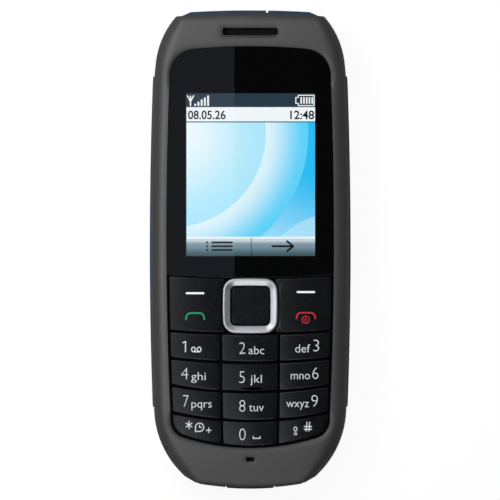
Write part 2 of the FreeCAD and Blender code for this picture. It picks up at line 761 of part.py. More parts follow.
def front_cover():
    """Front shell with its ledge for the window, its openings and its screw bosses."""
    shell = front_form().cut(body_prism(-FRONT_WALL, 0, CEILING))
    window_room = opening_prism(0, LEDGE_TOP, RIM_TOP + SEAT)
    keypad_room = opening_prism(0, 0, RIM_TOP).cut(above_row(0, 0, 0, RIM_TOP))
    view_room = centred_block(
        VIEW_WIDTH + 2 * VIEW_MARGIN, VIEW_LENGTH + 2 * VIEW_MARGIN, 0, VIEW_Y, (0, RIM_TOP)
    )
    ear_slot = plate(
        EARPIECE_SLOT_WIDTH, EARPIECE_SLOT_LENGTH, 0, EARPIECE_SLOT_Y, (0, RIM_TOP), EARPIECE_SLOT_CORNER
    )
    mic_slot = plate(MIC_PORT_WIDTH, MIC_PORT_LENGTH, 0, MIC_Y, (0, RIM_TOP), MIC_PORT_CORNER)
    wings = wing_band(PART_GAP, 0, WING_TOP)
    rooms = [window_room, keypad_room, view_room, ear_slot, mic_slot, wings]
    shell = cut_all(shell, rooms + lip_room(PART_GAP))
    bosses = [upright_rod(BOSS_RADIUS, x, y, (CHASSIS_TOP, CEILING)) for x, y in each_screw()]
    pilots = [
        upright_rod(SCREW_SHANK_RADIUS + THREAD_GAP, x, y, (CHASSIS_TOP, CHASSIS_TOP + SCREW_BITE + SEAT))
        for x, y in each_screw()
    ]
    return cut_all(fuse_all([shell] + bosses), pilots)


def window_outline(low, high):
    """The window's outline, between two heights."""
    return opening_prism(-WINDOW_GAP, low, high).common(above_row(0, -ROW_GAP_WIDTH / 2, low, high))


def display_window():
    """Clear window over the display, flush with the rim."""
    return window_outline(WINDOW_LOW, WINDOW_HIGH)


def window_mask():
    """Black printed border under the window, open over the display."""
    view = centred_block(VIEW_WIDTH, VIEW_LENGTH, 0, VIEW_Y, (0, RIM_TOP))
    return window_outline(LEDGE_TOP, WINDOW_LOW).cut(view)


def display_tray():
    """Metal tray that holds the backlight and the panel, notched for the display cable."""
    outer = centred_block(
        PANEL_WIDTH + 2 * TRAY_WALL, PANEL_LENGTH + 2 * TRAY_WALL, 0, PANEL_Y, (TRAY_LOW, PANEL_HIGH)
    )
    room = centred_block(PANEL_WIDTH, PANEL_LENGTH, 0, PANEL_Y, (LIGHT_LOW, PANEL_HIGH))
    notch_y = PANEL_Y + PANEL_LENGTH / 2
    notch = centred_block(FLEX_WIDTH + 2 * SEAT, PANEL_LENGTH, 0, notch_y, (LIGHT_LOW, PANEL_HIGH))
    return cut_all(outer, [room, notch])


def backlight():
    """Light guide under the panel."""
    return centred_block(
        PANEL_WIDTH - 2 * SEAT, PANEL_LENGTH - 2 * SEAT, 0, PANEL_Y, (LIGHT_LOW, PANEL_LOW)
    )


def display_panel():
    """Two glass sheets: the lower one is longer and carries the display cable's edge."""
    length = PANEL_LENGTH - 2 * SEAT
    half = PANEL_WIDTH / 2 - SEAT
    joint = PANEL_HIGH - GLASS_THICKNESS
    lower = centred_block(2 * half, length, 0, PANEL_Y, (PANEL_LOW, joint))
    low_y = PANEL_Y - length / 2
    high_y = VIEW_TOP + 2 * VIEW_MARGIN
    upper = block((-half, half), (low_y, high_y), (joint, PANEL_HIGH))
    return fuse_all([lower, upper])


def display_cable():
    """Flat cable from the panel's upper edge down to its plug on the board."""
    start = PANEL_Y + PANEL_LENGTH / 2 - SEAT
    bend = start + FLEX_REACH
    upper = PANEL_HIGH - GLASS_THICKNESS
    lower = BOARD_HIGH + BOARD_PLUG_HEIGHT + FLEX_THICKNESS
    across = (-FLEX_WIDTH / 2, FLEX_WIDTH / 2)
    run = block(across, (start, bend), (upper - FLEX_THICKNESS, upper))
    drop = block(across, (bend - FLEX_THICKNESS, bend), (lower - FLEX_THICKNESS, upper))
    foot = block(across, (bend - FLEX_THICKNESS, bend + FLEX_FOOT), (lower - FLEX_THICKNESS, lower))
    return fuse_all([run, drop, foot])


def board_plug():
    """Plug on the board under the foot of the display cable."""
    start = PANEL_Y + PANEL_LENGTH / 2 - SEAT + FLEX_REACH
    across = (-BOARD_PLUG_WIDTH / 2, BOARD_PLUG_WIDTH / 2)
    return block(across, (start + SEAT, start + FLEX_FOOT), (BOARD_HIGH, BOARD_HIGH + BOARD_PLUG_HEIGHT))


def column_gaps():
    """The two gaps between the columns of keys, closing slightly towards the bottom end."""
    gaps = []
    for side in (-1, 1):
        points = []
        for x, y in ((COLUMN_GAP_TOP, ROW_GAPS[0][0] + KEY_MARGIN), (COLUMN_GAP_BOTTOM, OPENING_BOTTOM)):
            points.append((side * x, y))
        (top_x, top_y), (bottom_x, bottom_y) = points
        half = COLUMN_GAP_WIDTH / 2
        outline = [
            (top_x - half, top_y),
            (top_x + half, top_y),
            (bottom_x + half, bottom_y),
            (bottom_x - half, bottom_y),
        ]
        gaps.append(polygon_prism(outline, KEY_LOW, KEY_TOP))
    return gaps


def crown_over(column):
    """The space under the crowned top of one column of keys."""
    radius = MIDDLE_CROWN_RADIUS if column == 0 else SIDE_CROWN_RADIUS
    return rod_along_y(radius, column * COLUMN_PITCH, KEY_TOP - radius, (-BODY_LENGTH, BODY_LENGTH))


def ring_room():
    """The room between the function keys: the navigation ring's outline and the strip above and below it."""
    width = RING_WIDTH + 2 * RING_TO_KEYS
    length = RING_LENGTH + 2 * RING_TO_KEYS
    around = bowed_plate(width, length, RING_BOW, RING_CORNER + RING_TO_KEYS, KEY_LOW, KEY_TOP)
    across = (-FUNCTION_KEY_START, FUNCTION_KEY_START)
    return [around, block(across, (OPENING_BOTTOM, OPENING_TOP), (KEY_LOW, KEY_TOP))]


def row_pieces(row, strip):
    """The keys of one row by column: three number keys, or a function key on each side of the ring."""
    columns = (-1, 0, 1) if row else (-1, 1)
    tools = column_gaps() if row else ring_room()
    pieces = sorted(cut_all(strip, tools).Solids, key=lambda piece: piece.CenterOfMass.x)
    return zip(columns, pieces)


def key_caps():
    """The caps of the keypad by row and column, cut from one blank that follows the opening."""
    blank = opening_prism(-KEY_MARGIN, KEY_LOW, KEY_TOP)
    half = ROW_GAP_WIDTH / 2
    above = [above_row(row, half, KEY_LOW, KEY_TOP) for row in range(len(ROW_GAPS))]
    below = [above_row(row, -half, KEY_LOW, KEY_TOP) for row in range(len(ROW_GAPS))]
    blank = blank.cut(above[0])
    rows = []
    for row in range(len(ROW_GAPS)):
        strip = blank.cut(above[row]) if row else blank
        rows.append(strip.common(below[row + 1]) if row + 1 < len(ROW_GAPS) else strip)
    caps = {}
    for row, strip in enumerate(rows):
        for column, piece in row_pieces(row, strip):
            cap = piece.common(crown_over(column)).Solids[0]
            crown = max(cap.Faces, key=lambda face: face.CenterOfMass.z)
            caps[row, column] = cap.makeChamfer(KEY_BEVEL, crown.Edges)
    return caps


def nub_places():
    """Where each key presses, by row and column: two places under each function key."""
    places = {}
    for row in range(len(ROW_GAPS)):
        for column in (-1, 0, 1):
            x = column * COLUMN_PITCH
            y = row_middle(row, x)
            if row == 0 and column:
                places[row, column] = [(x, y - FUNCTION_NUB_SPREAD), (x, y + FUNCTION_NUB_SPREAD)]
            elif row:
                places[row, column] = [(x, y)]
    return places


def navi_places():
    """Where the navigation ring presses: right, left, up and down."""
    across = RING_WIDTH / 2 - NAVI_NUB_INSET
    along = RING_LENGTH / 2 - NAVI_NUB_INSET
    return [(across, RING_Y), (-across, RING_Y), (0, RING_Y + along), (0, RING_Y - along)]


def nub(size, x, y):
    """A square post under a key, down to just above its dome."""
    return centred_block(size, size, x, y, (NUB_LOW, KEY_LOW + SEAT))


def tactile_bar():
    """The raised bar near the lower edge of the middle key, which a finger finds by touch."""
    y = row_edge_at(3, 0) + TACTILE_BAR_TO_GAP
    levels = (KEY_LOW + SEAT, KEY_TOP + TACTILE_BAR_HEIGHT)
    corner = TACTILE_BAR_LENGTH / 2 - SEAT
    return plate(TACTILE_BAR_WIDTH, TACTILE_BAR_LENGTH, 0, y, levels, corner)


def keys():
    """The twelve number keys and both function keys, with the nubs under them."""
    names = {(0, -1): "left_function_key", (0, 1): "right_function_key"}
    digits = (("1", "2", "3"), ("4", "5", "6"), ("7", "8", "9"), ("star", "0", "hash"))
    for row, row_digits in enumerate(digits, start=1):
        for column, digit in zip((-1, 0, 1), row_digits):
            names[row, column] = "key_" + digit
    caps = key_caps()
    made = {}
    for place, name in names.items():
        nubs = [nub(NUB_SIZE, x, y) for x, y in nub_places()[place]]
        made[name] = fuse_all([caps[place]] + nubs)
    made["key_5"] = fuse_all([made["key_5"], tactile_bar()])
    return made


def bowed_plate(width, length, bow, corner, low, high):
    """A plate about the navigation ring's middle with slightly bowed sides and round corners."""
    x = width / 2
    y = length / 2
    corners = [Vector(sx * (x - bow), sy * (y - bow), 0) for sx, sy in ((1, 1), (-1, 1), (-1, -1), (1, -1))]
    middles = [Vector(0, y, 0), Vector(-x, 0, 0), Vector(0, -y, 0), Vector(x, 0, 0)]
    arcs = [
        Part.Arc(corners[index], middles[index], corners[(index + 1) % 4]).toShape() for index in range(4)
    ]
    shape = prism(arcs, low, high)
    shape = shape.makeFillet(corner, edges_along_z(shape))
    shape.translate(Vector(0, RING_Y, 0))
    return shape


def ring_hole(low, high):
    """The hole in the navigation ring and its carrier."""
    return bowed_plate(
        RING_WIDTH - 2 * RING_BAND, RING_LENGTH - 2 * RING_BAND, RING_INNER_BOW, RING_INNER_CORNER, low, high
    )


def ring_flare():
    """The room over the ring's sloping inner face, which widens from the hole towards the top."""
    low = RING_HIGH - RING_FLARE_DEPTH
    narrow = ring_hole(low, RING_HIGH)
    width = RING_WIDTH - 2 * RING_BAND + 2 * RING_FLARE
    length = RING_LENGTH - 2 * RING_BAND + 2 * RING_FLARE
    wide = bowed_plate(width, length, RING_INNER_BOW, RING_INNER_CORNER + RING_FLARE, low, RING_HIGH)
    lower = min(narrow.Faces, key=lambda face: face.CenterOfMass.z)
    upper = max(wide.Faces, key=lambda face: face.CenterOfMass.z)
    return Part.makeLoft([lower.OuterWire, upper.OuterWire], True, True)


def navi_ring():
    """Square navigation ring, dished towards the select key, on its own carrier."""
    ring = bowed_plate(RING_WIDTH, RING_LENGTH, RING_BOW, RING_CORNER, RING_LOW, RING_HIGH)
    upper = max(ring.Faces, key=lambda face: face.CenterOfMass.z)
    ring = ring.makeChamfer(RING_BEVEL, upper.Edges)
    return cut_all(ring, [ring_hole(RING_LOW, RING_HIGH), ring_flare()])


def navi_carrier():
    """Frame under the navigation ring that presses the four domes."""
    width = RING_WIDTH - 2 * CARRIER_INSET
    length = RING_LENGTH - 2 * CARRIER_INSET
    frame = bowed_plate(width, length, RING_BOW, RING_CORNER - CARRIER_INSET, KEY_LOW, CARRIER_HIGH)
    frame = frame.cut(ring_hole(KEY_LOW, CARRIER_HIGH))
    nubs = [nub(NAVI_NUB_SIZE, x, y) for x, y in navi_places()]
    return fuse_all([frame] + nubs)


def select_key():
    """Key inside the navigation ring."""
    width = RING_WIDTH - 2 * RING_BAND - 2 * SELECT_GAP
    length = RING_LENGTH - 2 * RING_BAND - 2 * SELECT_GAP
    top = KEY_TOP - SELECT_SINK
    cap = bowed_plate(width, length, RING_INNER_BOW, RING_INNER_CORNER - SELECT_GAP, KEY_LOW, top)
    upper = max(cap.Faces, key=lambda face: face.CenterOfMass.z)
    cap = cap.makeChamfer(KEY_BEVEL, upper.Edges)
    return fuse_all([cap, nub(NUB_SIZE, 0, RING_Y)])


def mat_outline(offset, low, high):
    """The outline of the key mat, which stops short of the display tray."""
    outline = opening_prism(MAT_MARGIN + offset, low, high)
    stop = PANEL_Y - PANEL_LENGTH / 2 - TRAY_WALL - MAT_TO_TRAY + offset
    return outline.cut(block((-WIDE, WIDE), (stop, BODY_LENGTH), (low, high)))


def key_mat():
    """Rubber mat under the keys: a web on a skirt, holed for every nub."""
    web = mat_outline(0, FILM_HIGH, MAT_HIGH)
    web = web.cut(mat_outline(-MAT_SKIRT, FILM_HIGH, MAT_LOW))
    places = [place for group in nub_places().values() for place in group]
    size = NUB_SIZE + 2 * NUB_HOLE_GAP
    holes = [centred_block(size, size, x, y, (MAT_LOW, MAT_HIGH)) for x, y in places + [(0, RING_Y)]]
    size = NAVI_NUB_SIZE + 2 * NUB_HOLE_GAP
    holes += [centred_block(size, size, x, y, (MAT_LOW, MAT_HIGH)) for x, y in navi_places()]
    return cut_all(web, holes)


def lamp_places():
    """Where the keypad lamps stand, between the columns in every other row of number keys."""
    rows = range(1, len(ROW_GAPS), 2)
    return [(side * LAMP_X, row_middle(row, LAMP_X)) for row in rows for side in (-1, 1)]


def snap_dome(x, y):
    """A square snap dome with cut corners."""
    box = centred_block(DOME_SIZE, DOME_SIZE, x, y, (FILM_HIGH, DOME_HIGH))
    return box.makeChamfer(DOME_CUT, edges_along_z(box))


def dome_sheet():
    """Film with a snap dome under every nub, holed for the lamps."""
    film = mat_outline(0, BOARD_HIGH, FILM_HIGH)
    places = [place for group in nub_places().values() for place in group]
    places += [(0, RING_Y)] + navi_places()
    domes = [snap_dome(x, y) for x, y in places]
    size = LAMP_SIZE + 2 * LAMP_GAP
    holes = [centred_block(size, size, x, y, (BOARD_HIGH, FILM_HIGH)) for x, y in lamp_places()]
    return cut_all(fuse_all([film] + domes), holes)


def keypad_lamps():
    """Lamps on the board that light the keys."""
    levels = (BOARD_HIGH, BOARD_HIGH + LAMP_HEIGHT)
    lamps = [centred_block(LAMP_SIZE, LAMP_SIZE, x, y, levels) for x, y in lamp_places()]
    return Part.makeCompound(lamps)


def cover_form():
    """The back cover as a solid block: base, side wings and the lips at both ends."""
    base = round_under(
        side_prism(-BASE_INSET, 0, SKIRT_LOW - PART_GAP),
        end_prism(-BASE_INSET, -BASE_INSET, 0, SKIRT_LOW - PART_GAP),
        0,
        COVER_EDGE_ROUND,
        COVER_END_ROUND,
    )
    wing_high = WING_TOP - PART_GAP
    wings = round_under(
        side_prism(SIDE_STEP, 0, wing_high),
        end_prism(-BASE_INSET, -BASE_INSET, 0, wing_high),
        0,
        COVER_EDGE_ROUND,
        COVER_END_ROUND,
    ).common(wing_band(0, 0, WING_TOP))
    lips = round_under(
        side_prism(-BASE_INSET, 0, TOP_LIP_HEIGHT),
        end_prism(TOP_STEP, BOTTOM_STEP - BUTTON_PROUD, 0, TOP_LIP_HEIGHT),
        0,
        COVER_EDGE_ROUND,
        COVER_END_ROUND,
    )
    lips = cut_all(lips, lip_slants(TOP_LIP_HEIGHT))
    lip_zones = []
    for zone in lip_room(0):
        zone.translate(Vector(0, 0, -PART_GAP))
        lip_zones.append(lips.common(zone))
    return fuse_all([base, wings] + lip_zones)


def cover_room():
    """The space inside the back cover, deeper behind the lips."""
    high = RIM_TOP
    main = bevel_under(-COVER_SIDE_WALL, COVER_WALL, high, COVER_INNER_BEVEL)
    low = COVER_WALL + COVER_END_ROUND
    behind = end_prism(TOP_STEP - COVER_LIP_WALL, BOTTOM_STEP - BUTTON_PROUD - COVER_LIP_WALL, low, high)
    recesses = [behind.common(zone) for zone in lip_room(-COVER_LIP_WALL)]
    return [main] + recesses


def grip_grooves():
    """Upright grooves in the outer faces of both wings."""
    grooves = []
    for index in range(GROOVE_COUNT):
        y = GROOVE_START - index * GROOVE_PITCH
        bottom = FRONT_HALF_WIDTH + SIDE_STEP - GROOVE_DEPTH - arc_drop(BOTTOM_SIDE_RADIUS, y)
        y_range = (y - GROOVE_WIDTH / 2, y + GROOVE_WIDTH / 2)
        groove = block((bottom, WIDE), y_range, (COVER_EDGE_ROUND + SIDE_STEP + SEAT, WING_TOP))
        grooves += [groove, mirrored(groove)]
    return grooves


def face_place(x, wall_offset):
    """Where the inside of the top lip lies at a distance across, moved by an offset."""
    radius = TOP_END_RADIUS + wall_offset
    return TOP_END + wall_offset - arc_drop(radius, abs(x))


def socket_face(x, width):
    """The front face of a part behind the top lip, clear of the lip across its whole width."""
    return face_place(abs(x) + width / 2, TOP_STEP - COVER_LIP_WALL) - SOCKET_FACE_GAP


def back_cover():
    """Back shell with side wings, end lips, ports, grille, grip grooves and the button's slot."""
    far = (OPENING_TOP, BODY_LENGTH)
    ports = [
        rod_along_y(AUDIO_PORT_RADIUS, AUDIO_X, SOCKET_Z, far),
        rod_along_y(CHARGER_PORT_RADIUS, CHARGER_X, SOCKET_Z, far),
        torch_prism(far, POCKET_GAP),
    ]
    nick = centred_block(NICK_WIDTH, 2 * NICK_DEPTH, NICK_X, HALF_LENGTH, (0, TOP_LIP_HEIGHT))
    slots = [
        plate(
            GRILLE_SLOT_WIDTH,
            GRILLE_SLOT_LENGTH,
            (index - (GRILLE_COUNT - 1) / 2) * GRILLE_PITCH,
            SPEAKER_Y,
            (0, COVER_WALL),
            GRILLE_SLOT_WIDTH / 2 - SEAT,
        )
        for index in range(GRILLE_COUNT)
    ]
    button_room = button_zone(BUTTON_GAP, COVER_WALL, RIM_TOP)
    return cut_all(cover_form(), cover_room() + grip_grooves() + ports + [nick, button_room] + slots)


def button_zone(gap, low, high):
    """The space across the bottom lip that the release button fills."""
    half = BUTTON_HALF_WIDTH + gap
    depth = BUTTON_THICKNESS + BUTTON_TRAVEL + gap
    return block((-half, half), (-BODY_LENGTH, BOTTOM_END + depth), (low, high))


def release_button():
    """Button in the bottom lip that frees the cover."""
    high = BOTTOM_LIP_HEIGHT - PART_GAP
    outer = round_under(
        side_prism(0, 0, high), end_prism(0, BOTTOM_STEP, 0, high), 0, COVER_EDGE_ROUND, COVER_END_ROUND
    )
    inner = end_prism(0, BOTTOM_STEP - BUTTON_THICKNESS, 0, high)
    return outer.cut(inner).common(button_zone(0, COVER_WALL + BUTTON_GAP, high))


def torch_prism(y, gap):
    """The torch lens's outline carried along Y, grown by a gap."""
    width = TORCH_WIDTH + 2 * gap
    height = TORCH_HEIGHT + 2 * gap
    box = block((-width / 2, width / 2), y, (SOCKET_Z - height / 2, SOCKET_Z + height / 2))
    bounds = [(edge, edge.BoundBox) for edge in box.Edges]
    along = [edge for edge, bound in bounds if bound.YLength > bound.XLength + bound.ZLength]
    return box.makeFillet(TORCH_CORNER, along)


def torch_lens():
    """Clear lens of the torch, behind the window in the top lip."""
    face = socket_face(0, TORCH_WIDTH)
    return torch_prism((face - TORCH_LENGTH, face), 0)


def torch_lamp():
    """Side-facing lamp behind the torch lens, on the board's underside."""
    rear = socket_face(0, TORCH_WIDTH) - TORCH_LENGTH
    half = LAMP_CARRIER_WIDTH / 2
    return block((-half, half), (rear - LAMP_CARRIER_LENGTH, rear), (SOCKET_LOW, BOARD_LOW))


def audio_socket():
    """Round audio socket in a housing on the board's underside."""
    face = socket_face(AUDIO_X, AUDIO_WIDTH)
    half = AUDIO_WIDTH / 2
    housing = block((AUDIO_X - half, AUDIO_X + half), (face - AUDIO_LENGTH, face), (SOCKET_LOW, BOARD_LOW))
    return housing.cut(rod_along_y(AUDIO_BORE_RADIUS, AUDIO_X, SOCKET_Z, (face - AUDIO_BORE_DEPTH, face)))


def charger_socket():
    """Small round charging socket in a housing on the board's underside."""
    face = socket_face(CHARGER_X, CHARGER_WIDTH)
    half = CHARGER_WIDTH / 2
    sides = (CHARGER_X - half, CHARGER_X + half)
    housing = block(sides, (face - CHARGER_LENGTH, face), (SOCKET_LOW, BOARD_LOW))
    bore = rod_along_y(CHARGER_BORE_RADIUS, CHARGER_X, SOCKET_Z, (face - CHARGER_BORE_DEPTH, face))
    return housing.cut(bore)


def charger_pin():
    """Centre pin of the charging socket, standing on the bottom of its bore."""
    start = socket_face(CHARGER_X, CHARGER_WIDTH) - CHARGER_BORE_DEPTH
    return rod_along_y(CHARGER_PIN_RADIUS, CHARGER_X, SOCKET_Z, (start, start + CHARGER_PIN_LENGTH))


def socket_pockets():
    """The pockets in the chassis for the sockets and the torch, open at the top end."""
    pockets = []
    gap = POCKET_GAP
    sockets = ((AUDIO_X, AUDIO_WIDTH, AUDIO_LENGTH), (CHARGER_X, CHARGER_WIDTH, CHARGER_LENGTH))
    for x, width, length in sockets:
        rear = socket_face(x, width) - length - gap
        half = width / 2 + gap
        pockets.append(block((x - half, x + half), (rear, BODY_LENGTH), (SOCKET_LOW - gap, RIM_TOP)))
    rear = socket_face(0, TORCH_WIDTH) - TORCH_LENGTH
    half = TORCH_WIDTH / 2 + gap
    low = SOCKET_Z - TORCH_HEIGHT / 2 - gap
    pockets.append(block((-half, half), (rear - gap, BODY_LENGTH), (low, RIM_TOP)))
    half = LAMP_CARRIER_WIDTH / 2 + gap
    lamp_rear = rear - LAMP_CARRIER_LENGTH - gap
    pockets.append(block((-half, half), (lamp_rear, rear + gap), (SOCKET_LOW - gap, RIM_TOP)))
    return pockets


def motor_pocket():
    """The pocket in the back of the chassis for the vibration motor and its weight."""
    room = MOTOR_RADIUS + MOTOR_ROOM
    low_x = MOTOR_X - MOTOR_LENGTH / 2 - MOTOR_ROOM
    high_x = MOTOR_X + MOTOR_LENGTH / 2 + WEIGHT_GAP + WEIGHT_LENGTH + MOTOR_ROOM
    return block((low_x, high_x), (MOTOR_Y - room, MOTOR_Y + room), (0, MOTOR_Z + room))


def chassis():
    """Inner frame: battery bay, board rim, screw seats and pockets for the parts around it."""
    form = bevel_under(-CHASSIS_INSET, CHASSIS_LOW, BOARD_LOW, CHASSIS_BEVEL)
    inside = body_prism(-CHASSIS_INSET - CHASSIS_RIM, CHASSIS_TOP, BOARD_LOW)
    bay = cut_corner_plate(
        BATTERY_WIDTH + 2 * BAY_GAP,
        BATTERY_LENGTH + 2 * BAY_GAP,
        0,
        BATTERY_Y,
        (0, BAY_TOP),
        BATTERY_CORNER / 2,
    )
    speaker_room = cut_corner_plate(
        SPEAKER_WIDTH + 2 * POCKET_GAP,
        SPEAKER_LENGTH + 2 * POCKET_GAP,
        0,
        SPEAKER_Y,
        (0, BATTERY_LOW + GASKET_THICKNESS + SPEAKER_HEIGHT + SEAT),
        SPEAKER_CORNER / 2,
    )
    antenna_room = centred_block(
        ANTENNA_WIDTH + 2 * POCKET_GAP,
        ANTENNA_LENGTH + 2 * POCKET_GAP,
        0,
        ANTENNA_Y,
        (0, CHASSIS_LOW + ANTENNA_RECESS),
    )
    half = CONNECTOR_WIDTH / 2 + POCKET_GAP
    connector_room = block(
        (CONNECTOR_X - half, CONNECTOR_X + half),
        (BAY_END - BATTERY_CORNER, CONNECTOR_FACE + CONNECTOR_LENGTH + POCKET_GAP),
        (0, BOARD_LOW),
    )
    card_room = centred_block(
        HOLDER_WIDTH + 2 * POCKET_GAP, HOLDER_LENGTH + 2 * POCKET_GAP, 0, CARD_Y, (0, BOARD_LOW)
    )
    rooms = [inside, bay, speaker_room, antenna_room, connector_room, card_room, motor_pocket()]
    rooms += socket_pockets()
    for x, y in each_screw():
        rooms.append(upright_rod(SCREW_HEAD_RADIUS + SCREW_GAP, x, y, (0, SEAT_Z)))
        rooms.append(upright_rod(SCREW_SHANK_RADIUS + SCREW_GAP, x, y, (0, BOARD_LOW)))
        rooms.append(centred_block(BOSS_NOTCH, BOSS_NOTCH, x, y, (CHASSIS_TOP, BOARD_LOW)))
    return cut_all(form, rooms)


def cover_screws():
    """Screws from the back of the chassis into the front cover's bosses."""
    screws = []
    for x, y in each_screw():
        head = upright_rod(SCREW_HEAD_RADIUS, x, y, (SEAT_Z - SCREW_HEAD_HEIGHT, SEAT_Z))
        shank = upright_rod(SCREW_SHANK_RADIUS, x, y, (SEAT_Z - SEAT, CHASSIS_TOP + SCREW_BITE))
        screws.append(fuse_all([head, shank]))
    return Part.makeCompound(screws)


def main_board():
    """Circuit board over the chassis, notched round the screw bosses."""
    board = body_prism(-BOARD_INSET, BOARD_LOW, BOARD_HIGH)
    notches = [centred_block(BOSS_NOTCH, BOSS_NOTCH, x, y, (BOARD_LOW, BOARD_HIGH)) for x, y in each_screw()]
    return cut_all(board, notches)


def shield_can(width, length, y):
    """A shield can under the board, open towards the board."""
    can = cut_corner_plate(width, length, 0, y, (SHIELD_LOW, BOARD_LOW), SHIELD_CORNER)
    room = centred_block(
        width - 2 * SHIELD_WALL, length - 2 * SHIELD_WALL, 0, y, (SHIELD_LOW + SHIELD_WALL, BOARD_LOW)
    )
    return can.cut(room)


def card_holder():
    """Card holder on the board's underside: a frame with a bridge that keeps the card in."""
    frame = centred_block(HOLDER_WIDTH, HOLDER_LENGTH, 0, CARD_Y, (BAY_TOP, BOARD_LOW))
    width = CARD_WIDTH + 2 * CARD_GAP
    length = CARD_LENGTH + 2 * CARD_GAP
    ceiling = BOARD_LOW - HOLDER_WALL
    room = centred_block(width, length, 0, CARD_Y, (BAY_TOP + HOLDER_WALL, ceiling))
    window = centred_block(width, length, 0, CARD_Y, (BAY_TOP, ceiling))
    bridge = centred_block(HOLDER_WIDTH, HOLDER_BRIDGE, 0, CARD_Y, (BAY_TOP, BAY_TOP + HOLDER_WALL))
    return cut_all(frame, [room, window.cut(bridge)])


def subscriber_card():
    """Card with one cut corner, in its holder."""
    low = BOARD_LOW - HOLDER_WALL - CARD_GAP - CARD_THICKNESS
    half = CARD_WIDTH / 2
    start = CARD_Y - CARD_LENGTH / 2
    end = CARD_Y + CARD_LENGTH / 2
    outline = [
        (-half, start),
        (half, start),
        (half, end),
        (CARD_NOTCH - half, end),
        (-half, end - CARD_NOTCH),
    ]
    return polygon_prism(outline, low, low + CARD_THICKNESS)


def contact_places():
    """Where the battery contacts lie across the phone."""
    return [CONNECTOR_X + (index - (CONTACT_COUNT - 1) / 2) * CONTACT_PITCH for index in range(CONTACT_COUNT)]


def battery_connector():
    """Housing on the board's underside, slotted for the sprung contacts."""
    housing = block(
        (CONNECTOR_X - CONNECTOR_WIDTH / 2, CONNECTOR_X + CONNECTOR_WIDTH / 2),
        (CONNECTOR_FACE, CONNECTOR_FACE + CONNECTOR_LENGTH),
        (BOARD_LOW - CONNECTOR_HEIGHT, BOARD_LOW),
    )
    gap = CONTACT_SLOT_GAP
    depth = CONTACT_FACE + CONTACT_THICKNESS + CONTACT_TAIL + CONTACT_TRAVEL + gap
    half = CONTACT_THICKNESS / 2 + gap
    slots = [
        block(
            (x - CONTACT_WIDTH / 2 - gap, x + CONTACT_WIDTH / 2 + gap),
            (CONNECTOR_FACE, depth),
            (CONTACT_Z - half, CONTACT_Z + half),
        )
        for x in contact_places()
    ]
    return cut_all(housing, slots)


def battery_contacts():
    """Three contacts: an upright blade against the battery and a tail in the housing."""
    contacts = []
    for x in contact_places():
        across = (x - CONTACT_WIDTH / 2, x + CONTACT_WIDTH / 2)
        front = (CONTACT_FACE, CONTACT_FACE + CONTACT_THICKNESS)
        blade = block(across, front, (CONTACT_Z - CONTACT_HEIGHT / 2, CONTACT_Z + CONTACT_HEIGHT / 2))
        tail = block(
            across,
            (CONTACT_FACE, front[1] + CONTACT_TAIL),
            (CONTACT_Z - CONTACT_THICKNESS / 2, CONTACT_Z + CONTACT_THICKNESS / 2),
        )
        contacts.append(fuse_all([blade, tail]))
    return Part.makeCompound(contacts)


def terminal_blocks():
    """The three battery terminals, let into the battery's end."""
    end = BATTERY_END
    return [
        block(
            (x - TERMINAL_WIDTH / 2, x + TERMINAL_WIDTH / 2),
            (end - TERMINAL_DEPTH, end),
            (CONTACT_Z - TERMINAL_HEIGHT / 2, CONTACT_Z + TERMINAL_HEIGHT / 2),
        )
        for x in contact_places()
    ]


def battery_pack():
    """Flat battery, recessed for its terminals."""
    pack = plate(BATTERY_WIDTH, BATTERY_LENGTH, 0, BATTERY_Y, (BATTERY_LOW, BATTERY_HIGH), BATTERY_CORNER)
    return cut_all(pack, terminal_blocks())


def earpiece():
    """Earpiece between the board and the front cover."""
    return plate(
        EARPIECE_WIDTH,
        EARPIECE_LENGTH,
        0,
        EARPIECE_Y,
        (BOARD_HIGH, CEILING - MESH_THICKNESS - SEAT),
        EARPIECE_CORNER,
    )


def earpiece_mesh():
    """Mesh strip under the earpiece slot."""
    low = CEILING - MESH_THICKNESS
    return centred_block(MESH_WIDTH, MESH_LENGTH, 0, EARPIECE_SLOT_Y, (low, CEILING))


def loudspeaker():
    """Loudspeaker facing the grille in the back cover."""
    low = BATTERY_LOW + GASKET_THICKNESS
    body = plate(SPEAKER_WIDTH, SPEAKER_LENGTH, 0, SPEAKER_Y, (low, low + SPEAKER_HEIGHT), SPEAKER_CORNER)
    cone = plate(
        SPEAKER_WIDTH - 4 * SPEAKER_RIM,
        SPEAKER_LENGTH - 4 * SPEAKER_RIM,
        0,
        SPEAKER_Y,
        (low, low + SPEAKER_CONE_DEPTH),
        SPEAKER_CORNER - 2 * SPEAKER_RIM,
    )
    return body.cut(cone)


def speaker_gasket():
    """Foam ring between the loudspeaker and the back cover."""
    z = (BATTERY_LOW, BATTERY_LOW + GASKET_THICKNESS)
    outer = plate(SPEAKER_WIDTH, SPEAKER_LENGTH, 0, SPEAKER_Y, z, SPEAKER_CORNER)
    hole = plate(
        SPEAKER_WIDTH - 2 * SPEAKER_RIM,
        SPEAKER_LENGTH - 2 * SPEAKER_RIM,
        0,
        SPEAKER_Y,
        z,
        SPEAKER_CORNER - SPEAKER_RIM,
    )
    return outer.cut(hole)


def microphone():
    """Microphone on the board under its port."""
    return centred_block(MIC_WIDTH, MIC_LENGTH, 0, MIC_Y, (BOARD_HIGH, BOARD_HIGH + MIC_HEIGHT))


